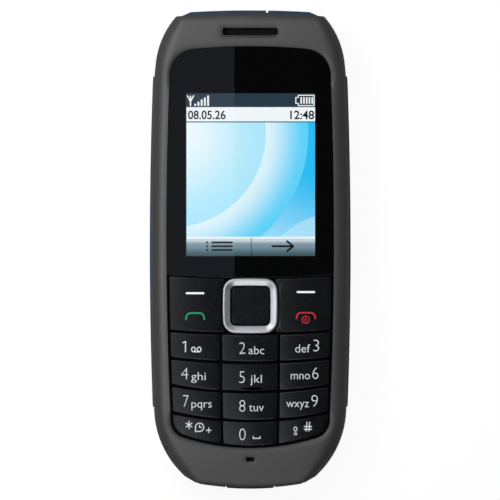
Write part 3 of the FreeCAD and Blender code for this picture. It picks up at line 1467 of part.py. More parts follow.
def microphone_boot():
    """Rubber boot that joins the microphone to its port."""
    width = MIC_WIDTH + 2 * BOOT_WALL
    length = MIC_LENGTH + 2 * BOOT_WALL
    boot = centred_block(width, length, 0, MIC_Y, (BOARD_HIGH, CEILING - SEAT))
    room = centred_block(MIC_WIDTH, MIC_LENGTH, 0, MIC_Y, (BOARD_HIGH, BOARD_HIGH + MIC_HEIGHT))
    return cut_all(boot, [room, upright_rod(MIC_HOLE_RADIUS, 0, MIC_Y, (BOARD_HIGH, CEILING))])


def antenna():
    """Foil antenna in a recess in the back of the chassis."""
    high = CHASSIS_LOW + ANTENNA_RECESS
    return centred_block(ANTENNA_WIDTH, ANTENNA_LENGTH, 0, ANTENNA_Y, (high - ANTENNA_THICKNESS, high))


def vibration_motor():
    """Can of the vibration motor, bored for the shaft."""
    end = MOTOR_X + MOTOR_LENGTH / 2
    can = rod_along_x(MOTOR_RADIUS, MOTOR_Y, MOTOR_Z, (end - MOTOR_LENGTH, end))
    return can.cut(rod_along_x(SHAFT_RADIUS + SHAFT_GAP, MOTOR_Y, MOTOR_Z, (end - MOTOR_BEARING_DEPTH, end)))


def vibration_weight():
    """Off-centre weight on the motor's shaft: half of a disc with a round hub."""
    end = MOTOR_X + MOTOR_LENGTH / 2
    start = end + WEIGHT_GAP
    x = (start, start + WEIGHT_LENGTH)
    disc = rod_along_x(MOTOR_RADIUS, MOTOR_Y, MOTOR_Z, x)
    upper_half = block(x, (MOTOR_Y - MOTOR_RADIUS, MOTOR_Y + MOTOR_RADIUS), (MOTOR_Z, MOTOR_Z + MOTOR_RADIUS))
    hub = rod_along_x(MOTOR_RADIUS / 2, MOTOR_Y, MOTOR_Z, x)
    shaft = rod_along_x(SHAFT_RADIUS, MOTOR_Y, MOTOR_Z, (end - MOTOR_BEARING_DEPTH + SHAFT_GAP, x[1]))
    return fuse_all([disc.cut(upper_half), hub, shaft])


def sub_parts():
    """Every sub-part of the phone by its name."""
    made = {
        "back_cover": back_cover(),
        "release_button": release_button(),
        "front_cover": front_cover(),
        "display_window": display_window(),
        "window_mask": window_mask(),
        "display_tray": display_tray(),
        "backlight": backlight(),
        "display_panel": display_panel(),
        "display_cable": display_cable(),
        "board_plug": board_plug(),
        "navi_ring": navi_ring(),
        "navi_carrier": navi_carrier(),
        "select_key": select_key(),
        "key_mat": key_mat(),
        "dome_sheet": dome_sheet(),
        "keypad_lamps": keypad_lamps(),
        "main_board": main_board(),
        "radio_shield": shield_can(RADIO_WIDTH, RADIO_LENGTH, RADIO_Y),
        "processor_shield": shield_can(PROCESSOR_WIDTH, PROCESSOR_LENGTH, PROCESSOR_Y),
        "card_holder": card_holder(),
        "subscriber_card": subscriber_card(),
        "battery_connector": battery_connector(),
        "battery_contacts": battery_contacts(),
        "battery_pack": battery_pack(),
        "battery_terminals": Part.makeCompound(terminal_blocks()),
        "chassis": chassis(),
        "cover_screws": cover_screws(),
        "earpiece": earpiece(),
        "earpiece_mesh": earpiece_mesh(),
        "loudspeaker": loudspeaker(),
        "speaker_gasket": speaker_gasket(),
        "microphone": microphone(),
        "microphone_boot": microphone_boot(),
        "audio_socket": audio_socket(),
        "charger_socket": charger_socket(),
        "charger_pin": charger_pin(),
        "torch_lamp": torch_lamp(),
        "torch_lens": torch_lens(),
        "vibration_motor": vibration_motor(),
        "vibration_weight": vibration_weight(),
        "antenna": antenna(),
    }
    made.update(keys())
    return made


def main():
    """Write each sub-part to its own file."""
    os.makedirs("parts", exist_ok=True)
    for name, shape in sub_parts().items():
        shape.exportStep("parts/" + name + ".step")


if __name__ == "__main__":
    main()
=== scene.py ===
"""Candybar feature phone: finishes, printed signs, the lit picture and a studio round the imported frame."""

import logging
import math
from collections.abc import Callable
from dataclasses import dataclass
from enum import Enum
from typing import ClassVar

import bpy
import numpy as np
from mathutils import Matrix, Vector


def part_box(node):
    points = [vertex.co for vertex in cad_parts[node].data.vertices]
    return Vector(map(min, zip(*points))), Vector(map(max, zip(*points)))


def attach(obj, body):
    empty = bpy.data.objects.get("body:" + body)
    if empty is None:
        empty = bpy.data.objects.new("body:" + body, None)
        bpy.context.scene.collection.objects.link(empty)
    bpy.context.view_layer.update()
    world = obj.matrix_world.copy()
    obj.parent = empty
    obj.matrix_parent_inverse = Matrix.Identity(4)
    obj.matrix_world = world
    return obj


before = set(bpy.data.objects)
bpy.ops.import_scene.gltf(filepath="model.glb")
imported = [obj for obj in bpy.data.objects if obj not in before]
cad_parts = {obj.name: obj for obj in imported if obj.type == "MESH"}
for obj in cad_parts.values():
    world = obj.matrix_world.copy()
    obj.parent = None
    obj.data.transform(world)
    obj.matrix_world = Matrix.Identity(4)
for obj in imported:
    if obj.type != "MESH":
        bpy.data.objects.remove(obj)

MM = 0.001
LOG = logging.getLogger("phone")
TYPE_HEIGHT = 0.73  # a digit's height in the built-in typeface, over the type size
SINK = 1.5  # how far a printed film reaches into its ground, over its thickness

Pair = tuple[float, float]
Triple = tuple[float, float, float]
Colour = tuple[float, float, float, float]
Line = list[Pair]
Socket = bpy.types.NodeSocket


def paint(red: float, green: float, blue: float) -> Colour:
    """Turns a display colour into a linear one.

    Args:
        red: red, 0 to 255.
        green: green, 0 to 255.
        blue: blue, 0 to 255.

    Returns:
        The linear colour with full alpha.
    """
    parts = [value / 255 for value in (red, green, blue)]
    linear = [part / 12.92 if part <= 0.04045 else ((part + 0.055) / 1.055) ** 2.4 for part in parts]
    return (linear[0], linear[1], linear[2], 1.0)


class Reading:
    """A number in a material, with the Python operators that add its Math nodes."""

    def __init__(self, sheet: "NodeSheet", socket: Socket) -> None:
        """Keeps the node sheet and the socket."""
        self.sheet = sheet
        self.socket = socket

    def work(self, operation: str, *others: "Reading | float") -> "Reading":
        """The result of one Math node whose first input is this value."""
        values = {0: self, **{place + 1: other for place, other in enumerate(others)}}
        return self.sheet.read("ShaderNodeMath", {"operation": operation}, values)

    def __add__(self, other: "Reading | float") -> "Reading":
        """Sum."""
        return self.work("ADD", other)

    __radd__ = __add__

    def __mul__(self, other: "Reading | float") -> "Reading":
        """Product."""
        return self.work("MULTIPLY", other)

    __rmul__ = __mul__

    def __sub__(self, other: "Reading | float") -> "Reading":
        """Difference."""
        return self.work("SUBTRACT", other)

    def __rsub__(self, other: float) -> "Reading":
        """A number less this value."""
        return (self * -1.0) + other

    def __truediv__(self, other: "Reading | float") -> "Reading":
        """Quotient."""
        return self.work("DIVIDE", other)

    def __abs__(self) -> "Reading":
        """Size without sign."""
        return self.work("ABSOLUTE")

    def squared(self) -> "Reading":
        """The value times itself."""
        return self * self

    def rise(self, low: float, high: float) -> "Reading":
        """A soft step from 0 at one limit to 1 at the other."""
        settings = {"interpolation_type": "SMOOTHSTEP"}
        return self.sheet.read("ShaderNodeMapRange", settings, {0: self, 1: low, 2: high, 3: 0.0, 4: 1.0})

    def past(self, limit: float, blur: float) -> "Reading":
        """A soft step to 1 over a limit, or under it where the blur is negative."""
        return self.rise(limit - blur, limit + blur)


class NodeSheet:
    """A node tree, and the one method that puts nodes into it."""

    def __init__(self, owner: bpy.types.Material | bpy.types.World | bpy.types.GeometryNodeTree) -> None:
        """Keeps a new material, world or node group and empties its tree.

        Args:
            owner: the material, world or node group.
        """
        self.owner = owner
        if isinstance(owner, bpy.types.NodeTree):
            self.tree = owner
        else:
            owner.use_nodes = True
            self.tree = owner.node_tree
        self.tree.nodes.clear()

    def node(self, kind: str, settings: dict | None = None, values: dict | None = None) -> bpy.types.Node:
        """Adds a node.

        Args:
            kind: the node's type.
            settings: its settings.
            values: values or links of its sockets, by name or number.

        Returns:
            The node.
        """
        made = self.tree.nodes.new(kind)
        for name, setting in (settings or {}).items():
            setattr(made, name, setting)
        for name, value in (values or {}).items():
            if isinstance(value, Reading):
                self.tree.links.new(value.socket, made.inputs[name])
            elif isinstance(value, Socket):
                self.tree.links.new(value, made.inputs[name])
            else:
                made.inputs[name].default_value = value
        return made

    def read(self, kind: str, settings: dict | None = None, values: dict | None = None) -> Reading:
        """Adds a node and takes a number from its first output."""
        return Reading(self, self.node(kind, settings, values).outputs[0])

    def place(self) -> Socket:
        """Object coordinates, in metres."""
        return self.node("ShaderNodeTexCoord").outputs["Object"]

    def axes(self) -> tuple[Reading, Reading, Reading]:
        """Object coordinates in millimetres, as three numbers."""
        parts = self.node("ShaderNodeSeparateXYZ", None, {0: self.place()}).outputs
        return tuple(Reading(self, part) * (1 / MM) for part in parts)

    def noise(self, size: float, detail: float, stretch: Triple = (1, 1, 1)) -> Reading:
        """Soft noise.

        Args:
            size: size of its features, in millimetres.
            detail: how many finer layers it has.
            stretch: how much longer the features are along each axis.

        Returns:
            The noise, 0 to 1.
        """
        shrunk = tuple(1 / part for part in stretch)
        turned = self.node("ShaderNodeMapping", None, {0: self.place(), 3: shrunk})
        values = {"Vector": turned.outputs[0], "Scale": 1 / (size * MM), "Detail": detail, "Roughness": 0.55}
        return self.read("ShaderNodeTexNoise", None, values)

    def mix(self, share: Reading | float, first: object, second: object) -> Socket:
        """Mixes two colours or colour sockets by the share of the second."""
        values = {0: share, 6: first, 7: second}
        return self.node("ShaderNodeMix", {"data_type": "RGBA"}, values).outputs[2]

    def bump(self, height: Reading, depth: float) -> Socket:
        """Turns a height of 0 to 1, with its depth in millimetres, into a normal."""
        return self.node("ShaderNodeBump", None, {"Distance": depth * MM, "Height": height}).outputs[0]

    def eased(self, share: Reading, radius: float) -> Socket:
        """The mesh's normal, blended over creases as if they were rounded.

        Args:
            share: where the creases are eased, 0 to 1.
            radius: how far the blend reaches, in millimetres.

        Returns:
            The normal.
        """
        soft = self.node("ShaderNodeBevel", {"samples": 8}, {"Radius": radius * MM}).outputs[0]
        plain = self.node("ShaderNodeNewGeometry").outputs["Normal"]
        return self.node("ShaderNodeMix", {"data_type": "VECTOR"}, {0: share, 4: plain, 5: soft}).outputs[1]

    def finish(self, values: dict) -> bpy.types.Material:
        """Closes the material with one Principled surface.

        Args:
            values: values or links of the surface's sockets, by name.

        Returns:
            The finished material.
        """
        surface = self.node("ShaderNodeBsdfPrincipled", None, values).outputs[0]
        self.node("ShaderNodeOutputMaterial", None, {0: surface})
        return self.owner


@dataclass(frozen=True)
class Look:
    """What every finish has: its material's name and its main colour."""

    name: str
    colour: Colour

    def parts(self, sheet: NodeSheet) -> dict:
        """Values or links of the surface's sockets, by name."""
        raise NotImplementedError

    def build(self) -> bpy.types.Material:
        """Makes the material."""
        sheet = NodeSheet(bpy.data.materials.new(self.name))
        return sheet.finish(self.parts(sheet))

    def shade(self, factor: float, lift: float = 0.0) -> Colour:
        """The main colour times a factor, plus a lift, and no brighter than white."""
        return tuple(min(part * factor + lift, 1.0) for part in self.colour[:3]) + (1.0,)


@dataclass(frozen=True)
class Moulded(Look):
    """Moulded plastic or rubber: spark-eroded grain, slow drift of shade and handled patches."""

    roughness: float
    grain: float
    depth: float
    drift: float = 0.1
    level: float = 0.5
    fleck: float = 0.0

    def parts(self, sheet: NodeSheet) -> dict:
        """Shade from slow and fine noise, roughness from handling, bump from the grain.

        Args:
            sheet: the material's tree.

        Returns:
            Values or links of the surface's sockets, by name.
        """
        fine = sheet.noise(self.grain, 3.0)
        slow = sheet.noise(7.0, 3.0)
        worn = sheet.noise(1.6, 4.0)
        colour = sheet.mix(slow * 0.7 + fine * 0.3, self.shade(1 - self.drift), self.shade(1 + self.drift))
        if self.fleck:
            colour = sheet.mix(fine.rise(0.60, 0.72) * self.fleck, colour, self.shade(3.0, 0.02))
        return {
            "Base Color": colour,
            "Roughness": worn * 0.12 + (self.roughness - 0.06),
            "Specular IOR Level": self.level,
            "Normal": sheet.bump(fine, self.depth),
        }


@dataclass(frozen=True)
class Shell(Moulded):
    """Soft-touch grey shell, black inside the opening for window and keys: black on the ledge between window
    and keys, and painted shade on the opening's grey inner walls.
    """

    # painted shade: black for the opening's grey inner walls, which lie in shade, and for the ledge between
    # window and keys
    seat_shade: Colour = paint(3, 3, 4)
    half_width: float = 18.95
    seat_top: float = 13.3
    seat_ends: Pair = (-44.6, 45.6)
    blur: float = 0.05
    ease: float = 2.2
    ease_from: float = 35.0
    ease_full: float = 39.0
    ease_low: float = 9.0

    def parts(self, sheet: NodeSheet) -> dict:
        """Black below a level inside the opening, painted shade on its grey inner walls, and eased creases at
        the corners.

        Args:
            sheet: the material's tree.

        Returns:
            Values or links of the surface's sockets, by name.
        """
        across, along, high = sheet.axes()
        # mask of the opening below its level: painted shade on the inner walls, black on the ledge
        seat_shade = abs(across).rise(self.half_width + self.blur, self.half_width)
        seat_shade = seat_shade * along.rise(self.seat_ends[0] - self.blur, self.seat_ends[0])
        seat_shade = seat_shade * along.rise(self.seat_ends[1] + self.blur, self.seat_ends[1])
        seat_shade = seat_shade * high.rise(self.seat_top + self.blur, self.seat_top)
        corners = abs(along).rise(self.ease_from, self.ease_full)
        corners = corners * high.rise(self.ease_low, self.ease_low + 1.0)
        values = super().parts(sheet)
        sheet.tree.links.new(sheet.eased(corners, self.ease), values["Normal"].node.inputs["Normal"])
        values["Base Color"] = sheet.mix(seat_shade, values["Base Color"], self.seat_shade)
        values["Roughness"] = values["Roughness"] + seat_shade * 0.2
        return values


@dataclass(frozen=True)
class Metal(Look):
    """Sheet or plated metal: rolling lines along one axis, faint stains and fine pits."""

    roughness: float
    run: Triple
    lines: float = 0.12
    depth: float = 0.0015
    metallic: float = 1.0

    def parts(self, sheet: NodeSheet) -> dict:
        """Stretched noise drives shade, roughness and bump.

        Args:
            sheet: the material's tree.

        Returns:
            Values or links of the surface's sockets, by name.
        """
        lines = sheet.noise(self.lines, 3.0, self.run)
        stains = sheet.noise(3.0, 4.0)
        return {
            "Base Color": sheet.mix(lines * 0.5 + stains * 0.5, self.shade(0.86), self.colour),
            "Metallic": self.metallic,
            "Roughness": lines * 0.12 + stains * 0.08 + (self.roughness - 0.1),
            "Normal": sheet.bump(lines, self.depth),
        }


@dataclass(frozen=True)
class Clear(Look):
    """Clear plastic with faint wiping marks in its gloss, and a hard coat where it has one."""

    roughness: float
    coat: float = 0.0

    def parts(self, sheet: NodeSheet) -> dict:
        """Full transmission, roughness from stretched wiping marks.

        Args:
            sheet: the material's tree.

        Returns:
            Values or links of the surface's sockets, by name.
        """
        marks = sheet.noise(2.5, 4.0, (1.0, 4.0, 1.0))
        return {
            "Base Color": sheet.mix(marks, self.shade(0.98), self.colour),
            "Roughness": marks * 0.02 + self.roughness,
            "IOR": 1.49,
            "Coat Weight": self.coat,
            "Coat Roughness": 0.01,
            "Transmission Weight": 1.0,
        }


@dataclass(frozen=True)
class Board(Look):
    """Circuit board: solder mask over copper tracks, with bare pads."""

    copper: Colour
    cell: float = 5.0
    track_edges: Pair = (0.22, 0.16)
    pads_per_metre: float = 420.0

    def parts(self, sheet: NodeSheet) -> dict:
        """Tracks are thin lines of a coordinate where slow cells let them through.

        Args:
            sheet: the material's tree.

        Returns:
            Values or links of the surface's sockets, by name.
        """
        across, along, _ = sheet.axes()
        turn = sheet.noise(self.cell, 0.0).rise(0.49, 0.51)
        line_x = abs(across.work("FRACT") - 0.5).rise(*self.track_edges)
        line_y = abs((along * 0.8).work("FRACT") - 0.5).rise(*self.track_edges)
        tracks = line_x * turn + line_y * (1.0 - turn)
        values = {"Vector": sheet.place(), "Scale": self.pads_per_metre}
        spots = sheet.read("ShaderNodeTexVoronoi", None, values)
        pads = spots.rise(0.16, 0.12)
        lacquer = sheet.mix(tracks * 0.55, self.colour, self.shade(1.9))
        return {
            "Base Color": sheet.mix(pads, lacquer, self.copper),
            "Metallic": pads,
            "Roughness": 0.38 - pads * 0.1,
            "Normal": sheet.bump(tracks, 0.02),
        }


@dataclass(frozen=True)
class Ink(Look):
    """Printed ink with a slightly uneven film, and a glow that is painted light where it is set."""

    # painted light: a glow that makes the ink brighter than the lamps light it
    glow: float = 0.0
    level: float = 0.5

    def parts(self, sheet: NodeSheet) -> dict:
        """Shade and roughness follow the film's noise; the emission is painted light.

        Args:
            sheet: the material's tree.

        Returns:
            Values or links of the surface's sockets, by name.
        """
        film = sheet.noise(0.25, 2.0)
        return {
            "Base Color": sheet.mix(film, self.shade(0.9), self.colour),
            "Roughness": film * 0.1 + 0.4,
            "Specular IOR Level": self.level,
            "Emission Color": self.colour,
            "Emission Strength": self.glow,
        }


@dataclass(frozen=True)
class Foil(Look):
    """Flexible film with parallel copper tracks inside it."""

    track: Colour
    pitch: float = 0.5

    def parts(self, sheet: NodeSheet) -> dict:
        """Tracks are stripes of the coordinate across the film.

        Args:
            sheet: the material's tree.

        Returns:
            Values or links of the surface's sockets, by name.
        """
        across, _, _ = sheet.axes()
        stripes = abs((across / self.pitch).work("FRACT") - 0.5).rise(0.3, 0.2)
        return {
            "Base Color": sheet.mix(stripes * 0.7, self.colour, self.track),
            "Metallic": stripes * 0.5,
            "Roughness": sheet.noise(1.2, 3.0) * 0.1 + 0.28,
            "Normal": sheet.bump(stripes, 0.01),
        }


@dataclass(frozen=True)
class Gauze(Look):
    """Woven dust screen: two crossing sets of wires."""

    pitch: float = 0.32

    def parts(self, sheet: NodeSheet) -> dict:
        """The product of both coordinates' sines gives the wires' height and shade.

        Args:
            sheet: the material's tree.

        Returns:
            Values or links of the surface's sockets, by name.
        """
        across, along, _ = sheet.axes()
        turn = 2 * math.pi / self.pitch
        high = (across * turn).work("SINE") * (along * turn).work("SINE") * 0.5 + 0.5
        return {
            "Base Color": sheet.mix(high, self.shade(0.12), self.colour),
            "Metallic": 0.6,
            "Roughness": 0.5 - high * 0.15,
            "Normal": sheet.bump(high, 0.05),
        }


@dataclass(frozen=True)
class Lit(Look):
    """A patch of the lit picture: it glows, brighter by what the window takes away, and reflects nothing."""

    glow: float = 1.13

    def pattern(self, sheet: NodeSheet) -> Socket:
        """The main colour, a little darker between the panel's fine cells."""
        return sheet.mix(sheet.noise(0.12, 0.0), self.shade(0.93), self.colour)

    def parts(self, sheet: NodeSheet) -> dict:
        """Black to the lamps, and glowing with the pattern.

        Args:
            sheet: the material's tree.

        Returns:
            Values or links of the surface's sockets, by name.
        """
        return {
            "Base Color": (0.0, 0.0, 0.0, 1.0),
            "Specular IOR Level": 0.0,
            "Emission Color": self.pattern(sheet),
            "Emission Strength": self.glow,
        }


@dataclass(frozen=True)
class Picture(Lit):
    """The lit picture: a status bar in the main colour, a title row, nested arcs and a soft key bar."""

    KEY_BAR = (
        (0.0, 0.65, paint(128, 153, 166)),
        (0.6, 0.85, paint(204, 217, 224)),
        (0.88, 0.94, paint(246, 252, 255)),
    )

    low: float = -1.4
    keys_top: float = 2.85
    title_low: float = 28.45
    title_high: float = 31.85
    blur: float = 0.05
    arcs_middle: Pair = (-17.5, 26.0)
    inner_reach: float = 21.0
    outer_reach: float = 30.5
    far_middle: Pair = (19.0, -9.0)
    far_reach: float = 17.0
    arc_blur: float = 0.08

    def _arcs(self, sheet: NodeSheet, across: Reading, along: Reading) -> Socket:
        """The wallpaper: fields that change where the distance from one of two points passes a limit.

        Args:
            sheet: the material's node sheet.
            across: place across the picture.
            along: place along the picture.

        Returns:
            The wallpaper's colour.
        """
        reach, far = (((across - middle[0]).squared() + (along - middle[1]).squared()).work("SQRT")
                      for middle in (self.arcs_middle, self.far_middle))
        slope = (across * -0.35 - along) * 0.04 + 0.9
        sky = sheet.mix(slope.rise(0.0, 1.1), paint(40, 190, 246), paint(176, 234, 255))
        grown = (reach / self.inner_reach).rise(0.0, 1.0)
        inner = sheet.mix(grown, paint(246, 253, 255), paint(176, 235, 255))
        beyond = (reach - self.inner_reach) / 9.0
        outer = sheet.mix(beyond.rise(-0.1, 1.0), paint(228, 248, 255), paint(96, 212, 252))
        wave = sheet.mix(reach.past(self.inner_reach, self.arc_blur), inner, outer)
        wave = sheet.mix(reach.past(self.outer_reach, self.arc_blur), wave, sky)
        return sheet.mix(far.past(self.far_reach, -self.arc_blur) * 0.45, wave, paint(206, 241, 254))

    def pattern(self, sheet: NodeSheet) -> Socket:
        """The whole picture, from bottom to top: soft key bar, wallpaper, rule, title row and status bar.

        Args:
            sheet: the material's tree.

        Returns:
            The picture's colour.
        """
        across, along, _ = sheet.axes()
        fade = (along - self.low) / (self.keys_top - self.low)
        whole = paint(60, 88, 98)
        for start, end, colour in self.KEY_BAR:
            whole = sheet.mix(fade.rise(start, end), whole, colour)
        whole = sheet.mix(along.past(self.keys_top, self.blur), whole, self._arcs(sheet, across, along))
        title = along.rise(self.title_low + 0.2, self.title_low + 0.25)
        rule = along.rise(self.title_low - self.blur, self.title_low) * (1.0 - title)
        whole = sheet.mix(title, whole, paint(244, 250, 253))
        whole = sheet.mix(rule, whole, paint(58, 96, 112))
        return sheet.mix(along.past(self.title_high, self.blur), whole, self.colour)


class Finish(Enum):
    """The finishes of the phone's pieces."""

    SHELL = Shell("soft_grey_shell", paint(95, 94, 93), 0.48, 0.13, 0.004, 0.05, 1.0)
    COVER = Moulded("deep_blue_cover", paint(60, 88, 120), 0.42, 0.13, 0.004, 0.06)
    # painted shade: the release button takes the cover's blue as it looks in shade at the bottom end
    BUTTON = Moulded("shaded_blue_button", paint(24, 28, 36), 0.42, 0.13, 0.004, 0.06)
    KEY = Moulded("key_cap_lacquer", paint(14, 17, 25), 0.26, 0.13, 0.007, 0.12, 0.42, 0.5)
    RUBBER = Moulded("black_rubber", paint(18, 18, 19), 0.75, 0.3, 0.01, 0.1, 0.3)
    BLACK = Moulded("black_moulding", paint(22, 22, 23), 0.5, 0.2, 0.004)
    CHASSIS = Moulded("grey_glass_filled_moulding", paint(52, 53, 55), 0.55, 0.25, 0.008, 0.12)
    FILM = Moulded("milky_key_film", paint(206, 204, 190), 0.35, 0.4, 0.002, 0.05)
    GUIDE = Moulded("white_light_guide", paint(232, 234, 236), 0.3, 0.5, 0.002, 0.03)
    CARD = Moulded("white_card", paint(226, 226, 222), 0.4, 0.3, 0.002, 0.03)
    LAMP = Moulded("lamp_resin", paint(236, 226, 150), 0.25, 0.3, 0.002, 0.05)
    PRINT = Moulded("black_window_print", paint(7, 7, 8), 0.3, 0.2, 0.001, 0.05, 0.2)
    GLASS_CELL = Moulded("panel_cell", paint(20, 22, 26), 0.2, 0.3, 0.001, 0.05)
    RING = Metal("satin_silver_ring", paint(240, 241, 246), 0.385, (1.0, 1.0, 1.0), 0.08, 0.001, 0.75)
    STEEL = Metal("rolled_steel", paint(176, 178, 181), 0.34, (20.0, 1.0, 1.0))
    CAN = Metal("battery_can", paint(150, 152, 156), 0.38, (1.0, 40.0, 1.0))
    SCREW = Metal("black_zinc_screw", paint(96, 96, 98), 0.35, (1.0, 1.0, 1.0), 0.1)
    GOLD = Metal("gold_plate", paint(226, 178, 92), 0.25, (1.0, 1.0, 1.0), 0.15)
    COPPER = Metal("copper_foil", paint(206, 128, 84), 0.32, (1.0, 12.0, 1.0), 0.3)
    WINDOW = Clear("clear_window", (1.0, 1.0, 1.0, 1.0), 0.01, 1.0)
    LENS = Clear("clear_lens", (0.96, 0.98, 1.0, 1.0), 0.06)
    BOARD = Board("green_board", paint(14, 74, 44), paint(222, 176, 96))
    CABLE = Foil("amber_cable", paint(158, 96, 34), paint(196, 128, 70))
    GAUZE = Gauze("dark_gauze", paint(16, 16, 17))
    # painted light: the glow of these four inks lifts the legends above what the lamps give
    WHITE_INK = Ink("pale_key_ink", paint(214, 217, 221), 0.62)
    BRIGHT_INK = Ink("white_dash_ink", paint(248, 248, 248), 0.7)
    GREEN_INK = Ink("green_call_ink", paint(22, 154, 104), 0.6)
    RED_INK = Ink("red_end_ink", paint(196, 36, 48), 0.6)
    # painted shade: black film for the shadow at the touch bar and in the screw recesses
    DEEP_INK = Ink("painted_shade_black", paint(2, 2, 3), 0.0, 0.0)
    GREY_INK = Ink("grey_battery_ink", paint(60, 62, 66))
    PICTURE = Picture("lit_picture", paint(36, 56, 68))
    LIT_WHITE = Lit("lit_white", paint(248, 252, 253))
    LIT_DARK = Lit("lit_dark", paint(14, 18, 22))

    def material(self) -> bpy.types.Material:
        """The finish's material, made once."""
        found = bpy.data.materials.get(self.value.name)
        return found if found else self.value.build()


def show(name: str, data: bpy.types.ID) -> bpy.types.Object:
    """Puts a mesh, curve, lamp or camera into the scene.

    Args:
        name: the object's name.
        data: the mesh, curve, lamp or camera.

    Returns:
        The object, at the origin.
    """
    made = bpy.data.objects.new(name, data)
    bpy.context.scene.collection.objects.link(made)
    return made


class Surfaces:
    """Meshes worked out as whole arrays."""

    @staticmethod
    def put(name: str, points: np.ndarray, faces: list[list[int]], finish: Finish) -> bpy.types.Object:
        """Puts points and faces into a new object at the origin.

        Args:
            name: the piece's name.
            points: corner points in millimetres, one row each.
            faces: corner numbers of each face.
            finish: the piece's finish.

        Returns:
            The object.
        """
        mesh = bpy.data.meshes.new(name)
        mesh.from_pydata((points * MM).tolist(), [], faces)
        mesh.materials.append(finish.material())
        return show(name, mesh)

    @staticmethod
    def loft(rings: np.ndarray, closed: bool = False) -> tuple[np.ndarray, list[list[int]]]:
        """Skins a row of equal rings, closing both ends unless the row meets its own start.

        Args:
            rings: array of rings by points by three; each ring runs anticlockwise seen from the row's end.
            closed: whether the last ring joins the first.

        Returns:
            Points and faces, turned outwards.
        """
        count, around, _ = rings.shape
        index = np.arange(count * around).reshape(count, around)
        first = index if closed else index[:-1]
        above = np.roll(index, -1, 0) if closed else index[1:]
        quads = np.stack([first, np.roll(first, -1, 1), np.roll(above, -1, 1), above], -1)
        faces = quads.reshape(-1, 4).tolist()
        if not closed:
            faces += [index[0, ::-1].tolist(), index[-1].tolist()]
        return rings.reshape(-1, 3), faces

    @classmethod
    def block_of(cls, outline: np.ndarray, low: float, high: float) -> tuple[np.ndarray, list[list[int]]]:
        """Points and faces of a prism over a closed anticlockwise outline between two heights."""
        rings = [np.column_stack([outline, np.full(len(outline), level)]) for level in (low, high)]
        return cls.loft(np.stack(rings))


Ground = Callable[[np.ndarray], np.ndarray]


def crown(column: int) -> Ground:
    """The height of a column's crowned key tops at distances across.

    Args:
        column: -1, 0 or 1 from the left.

    Returns:
        The ground that signs on that column are printed on.
    """
    top, pitch, radius = 14.7, 12.35, 60.0 if column else 70.0

    def height(across: np.ndarray) -> np.ndarray:
        """The key's top less the drop of the crown's circle."""
        away = across - column * pitch
        return top - (radius - np.sqrt(radius * radius - away * away))

    return height


def level(height: float) -> Ground:
    """A flat ground at one height."""
    return lambda across: np.full_like(across, height)


